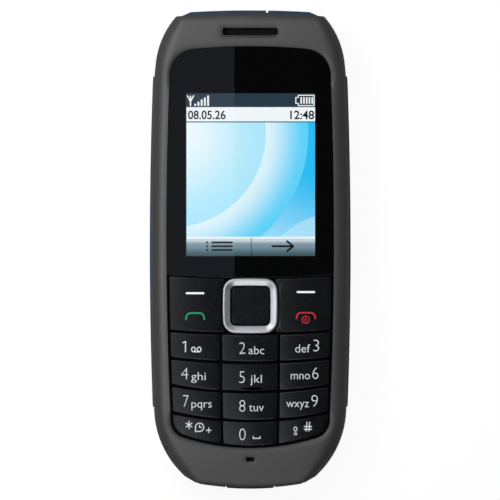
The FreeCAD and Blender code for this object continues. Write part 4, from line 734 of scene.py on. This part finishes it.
@dataclass
class Printer:
    """Prints signs in one ink as thin films on a surface; the ground gives its height from side to side."""

    body: str
    slot: str
    ink: Finish
    ground: Ground
    film: float = 0.02
    step: float = 0.4

    def _place(self, piece: bpy.types.Object) -> None:
        """Hands a finished film to its body.

        Args:
            piece: the film.
        """
        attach(piece, self.body)
        LOG.info("printed %s", piece.name)

    def text(self, name: str, words: str, box: Triple, height: float, thin: float = 0.0,
             snug: bool = False) -> None:
        """Prints words between two limits across, standing on a base line.

        Args:
            name: the piece's name.
            words: the words.
            box: left limit, right limit and base line.
            height: height of a digit.
            thin: how much the strokes are thinned, as a share of the type size.
            snug: whether the words fill the height from the base line exactly.
        """
        curve = bpy.data.curves.new(name, "FONT")
        curve.body = words
        curve.size = 1.0
        curve.extrude = 0.5
        curve.offset = -thin
        curve.resolution_u = 5
        holder = show(name + "_curve", curve)
        mesh = bpy.data.meshes.new_from_object(holder.evaluated_get(bpy.context.evaluated_depsgraph_get()))
        bpy.data.objects.remove(holder)
        bpy.data.curves.remove(curve)
        flat = np.zeros(len(mesh.vertices) * 3)
        mesh.vertices.foreach_get("co", flat)
        points = flat.reshape(-1, 3)
        left, right, base = box
        low, high = points[:, 0].min(), points[:, 0].max()
        across = left + (points[:, 0] - low) / (high - low) * (right - left)
        foot, reach = (points[:, 1].min(), np.ptp(points[:, 1])) if snug else (0.0, TYPE_HEIGHT)
        along = base + (points[:, 1] - foot) * height / reach
        lift = self.ground(across) + np.where(points[:, 2] > 0, self.film, -self.film * SINK)
        mesh.vertices.foreach_set("co", (np.column_stack([across, along, lift]) * MM).ravel())
        mesh.materials.clear()
        mesh.materials.append(self.ink.material())
        mesh.update()
        mesh.name = name
        self._place(show(name, mesh))

    def _film(self, name: str, one: np.ndarray, other: np.ndarray, closed: bool = False) -> None:
        """Lays a film between two edge lines: each station runs from one sunk foot over the top to the other.

        Args:
            name: the piece's name.
            one: points of the edge on the left of the way ahead.
            other: points of the edge on the right.
            closed: whether the film meets its own start.
        """
        columns = [np.column_stack([edge, self.ground(edge[:, 0]) + self.film * lift])
                   for edge, lift in ((one, -SINK), (one, 1.0), (other, 1.0), (other, -SINK))]
        points, faces = Surfaces.loft(np.stack(columns, axis=1), closed)
        self._place(Surfaces.put(name, points, faces, self.ink))

    def _closely(self, path: Line, closed: bool) -> np.ndarray:
        """Adds points between a line's corners, so that the film follows the crown.

        Args:
            path: the line's corners.
            closed: whether the line meets its own start.

        Returns:
            Points no further apart than the step.
        """
        corners = np.array(path + path[:1] if closed else path, float)
        runs = []
        for begin, end in zip(corners[:-1], corners[1:]):
            count = max(1, math.ceil(np.linalg.norm(end - begin) / self.step))
            runs.append(begin + np.linspace(0, 1, count, endpoint=False)[:, None] * (end - begin))
        return np.vstack(runs if closed else runs + [corners[-1:]])

    @staticmethod
    def _round_ends(path: np.ndarray, half: float) -> tuple[np.ndarray, np.ndarray, np.ndarray]:
        """Adds the stations of two round ends to an open path.

        Args:
            path: points of the line's middle.
            half: half the line's width.

        Returns:
            The middle points, the directions ahead and the half widths of every station.
        """
        turn = np.radians([85.0, 60.0, 35.0, 12.0])
        first, last = path[1] - path[0], path[-1] - path[-2]
        first, last = first / np.linalg.norm(first), last / np.linalg.norm(last)
        begin = path[0] - np.outer(np.sin(turn), first) * half
        end = path[-1] + np.outer(np.sin(turn[::-1]), last) * half
        middle = np.vstack([begin, path, end])
        before, after = (np.tile(way, (len(turn), 1)) for way in (first, last))
        ahead = np.vstack([before, np.gradient(path, axis=0), after])
        reach = np.concatenate([np.cos(turn), np.ones(len(path)), np.cos(turn[::-1])]) * half
        return middle, ahead, reach

    def stroke(self, name: str, path: Line, width: float, closed: bool = False) -> None:
        """Prints a line of even width with round ends.

        Args:
            name: the piece's name.
            path: points of the line's middle.
            width: width of the line.
            closed: whether the line meets its own start.
        """
        middle = self._closely(path, closed)
        if closed:
            ahead = np.roll(middle, -1, 0) - np.roll(middle, 1, 0)
            reach = np.full(len(middle), width / 2)
        else:
            middle, ahead, reach = self._round_ends(middle, width / 2)
        ahead = ahead / np.linalg.norm(ahead, axis=1, keepdims=True)
        side = np.column_stack([-ahead[:, 1], ahead[:, 0]]) * reach[:, None]
        self._film(name, middle + side, middle - side, closed)

    def lens(self, name: str, ends: Triple, foot: float, top: float) -> None:
        """Prints a lens: between its ends both edges swell as one less the square of the way.

        Args:
            name: the piece's name.
            ends: left end, right end and the height along the face that both lie at.
            foot: how far the lower edge swells down.
            top: how far the upper edge swells up.
        """
        left, right, along = ends
        way = np.linspace(-0.98, 0.98, 25)
        across = (left + right) / 2 + way * (right - left) / 2
        swell = 1 - way * way
        upper, lower = (np.column_stack([across, along + reach * swell]) for reach in (top, -foot))
        self._film(name, upper, lower)


def arc(centre: Pair, radius: float, start: float, end: float, count: int, tall: float = 1.0) -> Line:
    """Points along a circle or upright oval, tall times as high as wide, between two angles in degrees."""
    turn = np.radians(np.linspace(start, end, count))
    return list(zip(centre[0] + radius * np.cos(turn), centre[1] + radius * tall * np.sin(turn)))


def bar(middle: Pair, reach: float, angle: float, tall: float = 1.0) -> Line:
    """The line through a point, as far each way as a circle or upright oval reaches at that angle."""
    return arc(middle, reach, angle + 180, angle, 2, tall)


class Smoothing:
    """Gives the frame's loose triangles smooth rounds and crisp edges without touching their meshes."""

    group: bpy.types.NodeTree | None = None
    JOIN = 1e-7
    CRISP = 32.0
    ROUNDED = 30.0

    @classmethod
    def tree(cls) -> bpy.types.NodeTree:
        """Geometry nodes: join doubled points, shade smooth, keep edges over the crisp angle sharp.

        Returns:
            The node group, made once.
        """
        if cls.group:
            return cls.group
        group = bpy.data.node_groups.new("smooth_by_angle", "GeometryNodeTree")
        for way in ("INPUT", "OUTPUT"):
            group.interface.new_socket("Geometry", in_out=way, socket_type="NodeSocketGeometry")
        sheet = NodeSheet(group)
        begin = sheet.node("NodeGroupInput").outputs[0]
        angle = sheet.node("GeometryNodeInputMeshEdgeAngle").outputs[0]
        limit = {"A": angle, "B": math.radians(cls.CRISP)}
        crisp = sheet.node("FunctionNodeCompare", {"operation": "GREATER_THAN"}, limit).outputs[0]
        values = {"Geometry": begin, "Distance": cls.JOIN}
        joined = sheet.node("GeometryNodeMergeByDistance", None, values).outputs[0]
        smooth = sheet.node("GeometryNodeSetShadeSmooth", {"domain": "FACE"}, {"Geometry": joined}).outputs[0]
        values = {"Geometry": smooth, "Selection": crisp, "Shade Smooth": False}
        edged = sheet.node("GeometryNodeSetShadeSmooth", {"domain": "EDGE"}, values).outputs[0]
        sheet.node("NodeGroupOutput", None, {0: edged})
        cls.group = group
        return group

    @classmethod
    def apply(cls, piece: bpy.types.Object, soften: float) -> None:
        """Adds the modifiers to a piece.

        Args:
            piece: the piece.
            soften: radius that its sharp edges are rounded by, in millimetres.
        """
        if soften:
            piece.modifiers.new("weld", "WELD").merge_threshold = cls.JOIN
            bevel = piece.modifiers.new("soften", "BEVEL")
            bevel.width = soften * MM
            bevel.segments = 2
            bevel.limit_method = "ANGLE"
            bevel.angle_limit = math.radians(cls.ROUNDED)
        piece.modifiers.new("smooth", "NODES").node_group = cls.tree()
        normals = piece.modifiers.new("weighted", "WEIGHTED_NORMAL")
        normals.keep_sharp = True
        normals.weight = 100


class SubAssembly:
    """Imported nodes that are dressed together: each finish's nodes, and its softened edges in millimetres."""

    FINISHES: ClassVar[dict[Finish, str]] = {}
    SOFTENED: ClassVar[dict[Finish, float]] = {Finish.KEY: 0.25, Finish.RING: 0.1}

    def build(self) -> None:
        """Dresses the nodes, then adds the sub-assembly's own pieces."""
        for finish, nodes in self.FINISHES.items():
            for node in nodes.split():
                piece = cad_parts[node]
                piece.data.materials.clear()
                piece.data.materials.append(finish.material())
                Smoothing.apply(piece, self.SOFTENED.get(finish, 0.0))
                LOG.info("dressed %s with %s", node, finish.value.name)
        self.add_pieces()

    def add_pieces(self) -> None:
        """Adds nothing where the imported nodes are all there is."""


class Shells(SubAssembly):
    """Front cover, back cover and release button."""

    FINISHES = {Finish.SHELL: "front_cover", Finish.COVER: "back_cover", Finish.BUTTON: "release_button"}


@dataclass
class WindowUnit(SubAssembly):
    """Display window, its black print, the panel and the lit picture with its signs."""

    FINISHES = {
        Finish.WINDOW: "display_window",
        Finish.PRINT: "window_mask",
        Finish.GLASS_CELL: "display_panel",
        Finish.GUIDE: "backlight",
        Finish.STEEL: "display_tray",
        Finish.CABLE: "display_cable",
        Finish.BLACK: "board_plug",
    }
    CASE = (
        (10.75, 0.1), (14.3, 0.1), (14.3, 2.4), (10.75, 2.4),
        (10.75, 1.9), (10.2, 1.9), (10.2, 0.6), (10.75, 0.6),
    )
    TITLES = (("clock_digits", "12:48", 8.95, 14.3), ("date_digits", "08.05.26", -13.9, -5.5))

    level: float = 12.31
    film: float = 0.01
    left: float = -14.25
    right: float = 14.55
    low: float = -1.4
    high: float = 34.95
    status_foot: float = 32.1
    mast: float = -13.35
    bars_left: float = -12.3
    bar_pitch: float = 0.72
    bar_rise: float = 0.46
    charge_left: float = 11.4
    charge_pitch: float = 0.62
    title_foot: float = 29.2
    title_height: float = 1.95
    soft_keys: float = 0.75
    list_pitch: float = 0.85

    def _picture(self) -> None:
        """A thin sheet over the view area, sunk and raised by one film about its level."""
        outline = np.array([
            (self.left, self.low), (self.right, self.low), (self.right, self.high), (self.left, self.high)])
        points, faces = Surfaces.block_of(outline, self.level - self.film, self.level + self.film)
        piece = Surfaces.put("lit_picture", points, faces, Finish.PICTURE)
        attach(piece, "phone")
        LOG.info("added %s", piece.name)

    def _printer(self, ink: Finish) -> Printer:
        """The printer that puts signs on the lit picture."""
        return Printer("phone", "panel_glass", ink, level(self.level + 2 * self.film), self.film)

    def _status_signs(self) -> None:
        """Reception bars and mast, and the charge in its case."""
        white = self._printer(Finish.LIT_WHITE)
        foot, mast = self.status_foot, self.mast
        for step in range(5):
            left, top = self.bars_left + step * self.bar_pitch, foot + 0.35 + step * self.bar_rise
            white.stroke(f"reception_bar_{step}", [(left, foot + 0.2), (left, top)], 0.42)
        white.stroke("reception_mast", [(mast, foot + 0.1), (mast, foot + 2.2)], 0.3)
        for name, away in (("left", -0.7), ("right", 0.7)):
            white.stroke(f"reception_{name}", [(mast, foot + 1.0), (mast + away, foot + 2.3)], 0.26)
        case = [(across, foot + lift) for across, lift in self.CASE]
        for step, ends in enumerate(zip(case, case[1:] + case[:1])):
            white.stroke(f"charge_case_{step}", list(ends), 0.22)
        for step in range(5):
            left = self.charge_left + step * self.charge_pitch
            white.stroke(f"charge_bar_{step}", [(left, foot + 0.65), (left, foot + 1.85)], 0.36)

    def _dark_signs(self) -> None:
        """Clock and date, and the signs of the two soft keys with the rule between them."""
        dark = self._printer(Finish.LIT_DARK)
        for name, words, left, right in self.TITLES:
            dark.text(name, words, (left, right, self.title_foot), self.title_height, -0.018)
        middle = self.soft_keys
        for step in range(3):
            along = middle + (1 - step) * self.list_pitch
            dark.stroke(f"list_bar_{step}", [(-8.5, along), (-4.1, along)], 0.42)
            dark.stroke(f"list_dot_{step}", [(-9.65, along), (-9.6, along)], 0.44)
        dark.stroke("arrow_shaft", [(5.0, middle), (9.5, middle)], 0.44)
        for name, way in (("upper", 1), ("lower", -1)):
            dark.stroke(f"arrow_{name}", [(8.25, middle + 1.1 * way), (9.6, middle + 0.03 * way)], 0.44)
        dark.stroke("soft_key_rule", [(0.25, -1.5), (0.25, 2.7)], 0.12)

    def add_pieces(self) -> None:
        """Adds the picture and its signs."""
        self._picture()
        self._status_signs()
        self._dark_signs()


@dataclass
class Keypad(SubAssembly):
    """Number keys, function keys, ring and select key, with their printed signs.

    Rows of the captions: a digit, its column from -1 to 1, its left limit, right limit and base line, and
    the same for its letters.
    """

    FINISHES = {
        Finish.KEY: "key_0 key_1 key_2 key_3 key_4 key_5 key_6 key_7 key_8 key_9 key_star key_hash "
                    "left_function_key right_function_key select_key",
        Finish.RING: "navi_ring",
        Finish.BLACK: "navi_carrier",
        Finish.RUBBER: "key_mat",
        Finish.FILM: "dome_sheet",
        Finish.LAMP: "keypad_lamps",
    }
    CAPTIONS = (
        ("2", 0, (-2.45, -1.09, -23.33), "abc", (-0.36, 3.13, -23.38)),
        ("3", 1, (14.1, 15.4, -22.75), "def", (10.05, 13.43, -23.0)),
        ("4", -1, (-15.48, -13.85, -28.99), "ghi", (-13.21, -9.94, -29.2)),
        ("5", 0, (-2.45, -1.22, -29.82), "jkl", (0.02, 2.6, -29.79)),
        ("6", 1, (13.9, 15.25, -28.93), "mno", (9.07, 13.37, -28.98)),
        ("7", -1, (-15.03, -13.78, -35.15), "pqrs", (-13.14, -8.58, -35.32)),
        ("8", 0, (-2.45, -1.09, -36.24), "tuv", (-0.27, 3.05, -36.14)),
        ("9", 1, (13.68, 15.12, -35.12), "wxyz", (8.06, 13.12, -35.23)),
        ("0", 0, (-2.45, -1.02, -42.6), "", ()),
    )
    STAR_LINES = (
        ("bubble_tail", ((-12.2, -40.15), (-12.3, -40.75), (-11.64, -40.6))),
        ("bubble_hand", ((-11.32, -39.25), (-11.32, -39.75))),
        ("bubble_hour", ((-11.32, -39.75), (-10.92, -39.75))),
        ("plus_across", ((-9.8, -40.4), (-8.75, -40.4))),
        ("plus_up", ((-9.27, -40.93), (-9.27, -39.88))),
    )
    SPACE = ((0.68, -41.8), (0.68, -42.2), (0.74, -42.2), (2.14, -42.2), (2.2, -42.2), (2.2, -41.8))

    digit_height: float = 2.6
    digit_thin: float = 0.018
    letter_height: float = 1.93
    letter_thin: float = 0.004

    @staticmethod
    def _on(key: str, column: int, ink: Finish = Finish.WHITE_INK) -> Printer:
        """The printer for one key's crowned top."""
        return Printer(key, "key_caps", ink, crown(column))

    def _number_signs(self) -> None:
        """Digits and letter groups, and painted shadow at the middle key's touch bar."""
        for digit, column, box, letters, letter_box in self.CAPTIONS:
            printer = self._on(f"key_{digit}", column)
            printer.text(f"digit_{digit}", digit, box, self.digit_height, self.digit_thin, True)
            if letters:
                printer.text(f"letters_{letters}", letters, letter_box, self.letter_height, self.letter_thin)
        one = self._on("key_1", -1)
        one.stroke("digit_1_flag", [(-15.04, -20.84), (-14.5, -20.56)], 0.25)
        one.stroke("digit_1_stem", [(-14.47, -20.58), (-14.47, -22.83)], 0.27)
        # painted shadow: a dark lens at the foot of the touch bar, and a dark band over the bar's lower half
        self._on("key_5", 0, Finish.DEEP_INK).lens("bar_foot_shadow", (-2.3, 2.75, -31.12), 0.28, 0.5)
        shade = Printer("key_5", "key_caps", Finish.DEEP_INK, level(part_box("key_5")[1][2] / MM))
        shade.stroke("bar_shade", bar((0.0, -31.06), 1.36, 0), 0.46)

    def _small_signs(self) -> None:
        """Message tape, star, clock bubble, plus, space, lock and hash."""
        one = self._on("key_1", -1)
        for side, across in (("left", -12.68), ("right", -11.42)):
            one.stroke(f"tape_{side}", arc((across, -22.32), 0.42, 0, 345, 24, 1.2), 0.26, True)
        one.stroke("tape_base", [(-12.55, -22.85), (-11.3, -22.85)], 0.24)
        star = self._on("key_star", -1)
        for step in range(3):
            star.stroke(f"star_arm_{step}", bar((-13.68, -39.22), 0.76, 90 + 60 * step, 0.84 / 0.76), 0.23)
        star.stroke("bubble", arc((-11.32, -39.72), 0.93, -110, 205, 30), 0.24)
        for name, path in self.STAR_LINES:
            star.stroke(name, list(path), 0.22)
        self._on("key_0", 0).stroke("space_sign", list(self.SPACE), 0.24)
        crossed = self._on("key_hash", 1)
        for step, away in enumerate((-0.3, 0.32)):
            crossed.stroke(f"hash_up_{step}", [(12.78 + away, -40.55), (13.0 + away, -38.6)], 0.24)
            crossed.stroke(f"hash_across_{step}", [(12.1, -39.88 + away), (13.7, -39.88 + away)], 0.24)
        crossed.stroke("lock_ring", arc((10.12, -40.12), 0.34, 0, 345, 16, 1.35), 0.2, True)
        foot = [(9.88, -41.38), (10.36, -41.38), (10.36, -40.98), (9.88, -40.98)]
        crossed.stroke("lock_foot", foot, 0.18, True)

    @staticmethod
    def _handset(left: float, right: float, high: float, radius: float, drop: float) -> Line:
        """A laid handset: a straight back between two quarter arcs whose ends run on down and outwards.

        Args:
            left: where the left arc is centred.
            right: where the right arc is centred.
            high: the height of both centres along the face.
            radius: the arcs' radius.
            drop: how far the ends run down.

        Returns:
            The points of its middle.
        """
        splay = radius + 0.06
        start = [(left - splay, high - drop), (left - radius, high)]
        back = arc((left, high), radius, 180, 90, 9)[1:] + arc((right, high), radius, 90, 0, 9)
        return start + back + [(right + splay, high - drop)]

    def _function_signs(self) -> None:
        """Dashes and handsets of the function keys, and the power sign."""
        dashes = (("left", -1, (-14.2, -10.45), -9.75), ("right", 1, (10.6, 14.3), -9.5))
        for side, column, ends, along in dashes:
            white = self._on(f"{side}_function_key", column, Finish.BRIGHT_INK)
            white.stroke(f"{side}_dash", [(across, along) for across in ends], 0.44)
        green = self._on("left_function_key", -1, Finish.GREEN_INK)
        green.stroke("call_handset", self._handset(-13.3, -11.32, -15.2, 1.0, 0.4), 0.37)
        red = self._on("right_function_key", 1, Finish.RED_INK)
        red.stroke("end_handset", self._handset(11.36, 13.5, -15.1, 0.98, 0.3), 0.35)
        power = (12.4, -15.68)
        red.stroke("power_ring", arc(power, 0.78, 0, 352, 40), 0.22, True)
        red.stroke("power_bar", arc(power, 0.1, 0, 345, 12, 3.4), 0.16, True)

    def add_pieces(self) -> None:
        """Prints the keys."""
        self._number_signs()
        self._small_signs()
        self._function_signs()


@dataclass
class Inside(SubAssembly):
    """Everything between the covers, and the sockets at the top end."""

    FINISHES = {
        Finish.BOARD: "main_board",
        Finish.STEEL: "radio_shield processor_shield card_holder vibration_motor vibration_weight",
        Finish.SCREW: "cover_screws",
        Finish.BLACK: "battery_connector audio_socket charger_socket microphone loudspeaker earpiece",
        Finish.GOLD: "battery_contacts battery_terminals charger_pin",
        Finish.COPPER: "antenna",
        Finish.CHASSIS: "chassis",
        Finish.CAN: "battery_pack",
        Finish.CARD: "subscriber_card",
        Finish.RUBBER: "microphone_boot speaker_gasket",
        Finish.GAUZE: "earpiece_mesh",
        Finish.LENS: "torch_lens",
        Finish.LAMP: "torch_lamp",
    }
    SCREWS = ((16.3, 44.25), (-16.3, 44.25), (14.6, -45.95), (-14.6, -45.95))

    film: float = 0.01
    pole_inset: float = 5.0
    pole_reach: float = 1.1
    pole_width: float = 0.45
    recess_reach: float = 0.6
    recess_width: float = 0.26

    def _poles(self) -> None:
        """A plus and a minus sign under the battery's terminal end."""
        low, high = (np.array(corner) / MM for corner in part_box("battery_pack"))
        printer = Printer("battery", "black_print", Finish.GREY_INK, level(low[2]), self.film)
        plus, minus = low[0] + self.pole_inset, high[0] - self.pole_inset
        for step, (across, angle) in enumerate(((plus, 0), (plus, 90), (minus, 0))):
            line = bar((across, high[1] - self.pole_inset), self.pole_reach, angle)
            printer.stroke(f"pole_line_{step}", line, self.pole_width)

    def _recess_shades(self) -> None:
        """Painted shade: two crossed dark films under each screw head, for its cross recess."""
        heads = level(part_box("cover_screws")[0][2] / MM)
        printer = Printer("phone", "steel_sheet", Finish.DEEP_INK, heads, self.film)
        # painted shade: dark crosses where each screw head's recess lies in shade
        for step, middle in enumerate(self.SCREWS):
            for turn in (0, 1):
                line = bar(middle, self.recess_reach, 90 * turn)
                printer.stroke(f"screw_{step}_recess_shade_{turn}", line, self.recess_width)

    def add_pieces(self) -> None:
        """Prints the pole signs and the painted shade of the screw recesses."""
        self._poles()
        self._recess_shades()


@dataclass(frozen=True)
class Lamp:
    """A soft rectangular lamp that the lens doesn't see."""

    name: str
    place: Triple
    power: float
    width: float = 0.2
    length: float = 0.2
    lean: float = 0.0
    gloss_only: bool = False
    tint: Triple = (1.0, 1.0, 1.0)

    def build(self) -> None:
        """Adds the lamp, turned to the floor point at the lean's share of its distance from the middle."""
        data = bpy.data.lights.new(self.name, "AREA")
        data.shape = "RECTANGLE"
        data.size = self.width
        data.size_y = self.length
        data.energy = self.power
        data.color = self.tint
        lamp = show(self.name, data)
        across, along, high = self.place
        lamp.location = self.place
        ahead = Vector((across * (self.lean - 1.0), along * (self.lean - 1.0), -high))
        lamp.rotation_euler = ahead.to_track_quat("-Z", "Y").to_euler()
        lamp.visible_camera = False
        lamp.visible_diffuse = not self.gloss_only


@dataclass
class Studio:
    """White floor, soft light from the left and a lens straight above the phone, in metres and watts."""

    LAMPS = (
        Lamp("far_right", (0.212, 0.367, 0.424), 0.056),
        Lamp("high_right", (0.093, 0.161, 0.571), 0.0965),
        Lamp("high_left", (-0.093, 0.161, 0.571), 0.0915),
        Lamp("high_south", (0.0, -0.318, 0.509), 0.085),
        Lamp("near_north_west", (-0.10, 0.12, 0.20), 0.138, 0.14, 0.14, 0.6),
        Lamp("near_west", (-0.12, 0.0, 0.20), 0.0145, 0.05, 0.05, 0.6),
        Lamp("close_west", (-0.06, 0.0, 0.15), 0.0033, 0.05, 0.05, 0.6),
        Lamp("west_gloss", (-0.12, 0.0, 0.20), 0.062, 0.05, 0.05, 0.6, True),
        Lamp("south_west_gloss", (-0.03, -0.06, 0.13), 0.0112, 0.05, 0.05, 0.6, True),
        Lamp("south_gloss", (0.0, -0.446, 0.402), 0.263, gloss_only=True),
        Lamp("low_east_gloss", (0.556, 0.0, 0.225), 0.034, gloss_only=True),
        Lamp("east_gloss", (0.424, 0.0, 0.424), 0.024, gloss_only=True),
        Lamp("west_half_gloss", (-0.2536, 0.0, 0.10), 0.17, 0.5, 0.8, 1.0, True, (0.84, 0.92, 1.2)),
    )

    span: float = 0.11195
    sensor: float = 36.0
    distance: float = 4.0
    middle: Pair = (-0.000045, -0.000096)
    level: float = 0.008
    surround: float = 0.03
    horizon: Pair = (-0.05, 0.15)
    floor_greys: Pair = (0.29, 0.31)
    floor_half: float = 3.0
    floor_drop: float = 0.00002
    floor_glow: float = 0.93
    mirrored_share: float = 0.2

    @staticmethod
    def _sight(sheet: NodeSheet) -> tuple[Reading, Reading, Reading]:
        """1 where the lens looks at the stage, 1 where a clear piece does, and 1 where a reflection does."""
        path = sheet.node("ShaderNodeLightPath").outputs
        return tuple(Reading(sheet, path[f"Is {kind} Ray"]) for kind in ("Camera", "Transmission", "Glossy"))

    def _floor(self) -> None:
        """A wide pale plane under the phone: grey to the light, white to the lens, with its shadow."""
        sheet = NodeSheet(bpy.data.materials.new("studio_floor"))
        tone = sheet.noise(400.0, 1.0)
        seen, through, mirrored = self._sight(sheet)
        white = (seen + through + mirrored * self.mirrored_share).work("MINIMUM", 1.0)
        material = sheet.finish({
            "Base Color": sheet.mix(tone, *((grey, grey, grey, 1.0) for grey in self.floor_greys)),
            "Roughness": 0.9,
            "Specular IOR Level": 0.0,
            "Emission Color": (1.0, 1.0, 1.0, 1.0),
            "Emission Strength": white * self.floor_glow,
        })
        mesh = bpy.data.meshes.new("studio_floor")
        half, low = self.floor_half, -self.floor_drop
        corners = [(-half, -half, low), (half, -half, low), (half, half, low), (-half, half, low)]
        mesh.from_pydata(corners, [], [(0, 1, 2, 3)])
        mesh.materials.append(material)
        show("studio_floor", mesh)

    def _world(self) -> None:
        """A faint even surround, white to the lens, and pale to clear pieces and low reflections."""
        world = bpy.data.worlds.new("studio")
        sheet = NodeSheet(world)
        seen, through, mirrored = self._sight(sheet)
        ahead = sheet.node("ShaderNodeTexCoord").outputs["Generated"]
        high = Reading(sheet, sheet.node("ShaderNodeSeparateXYZ", None, {0: ahead}).outputs[2])
        low = (through + mirrored * self.mirrored_share) * (1.0 - high.rise(*self.horizon))
        white = (seen + low).work("MINIMUM", 1.0)
        strength = white * (1.0 - self.surround) + self.surround
        glow = sheet.node("ShaderNodeBackground", None, {0: (1.0, 1.0, 1.0, 1.0), 1: strength})
        sheet.node("ShaderNodeOutputWorld", None, {0: glow.outputs[0]})
        bpy.context.scene.world = world

    def _camera(self) -> None:
        """A long lens straight above, with the phone's own up as the picture's up."""
        data = bpy.data.cameras.new("camera")
        data.sensor_width = self.sensor
        data.lens = self.sensor * self.distance / self.span
        data.clip_start = 0.1
        data.clip_end = 100.0
        camera = show("camera", data)
        camera.location = (*self.middle, self.level + self.distance)
        bpy.context.scene.camera = camera

    def build(self) -> None:
        """Sets up the whole studio."""
        bpy.context.scene.view_settings.view_transform = "Standard"
        for lamp in self.LAMPS:
            lamp.build()
        self._floor()
        self._world()
        self._camera()


def main() -> None:
    """Builds the pieces in order and reports each one."""
    logging.basicConfig(level=logging.INFO, format="%(name)s: %(message)s")
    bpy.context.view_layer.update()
    for part in (Shells(), WindowUnit(), Keypad(), Inside(), Studio()):
        part.build()
        LOG.info("built %s", type(part).__name__)


if __name__ == "__main__":
    main()
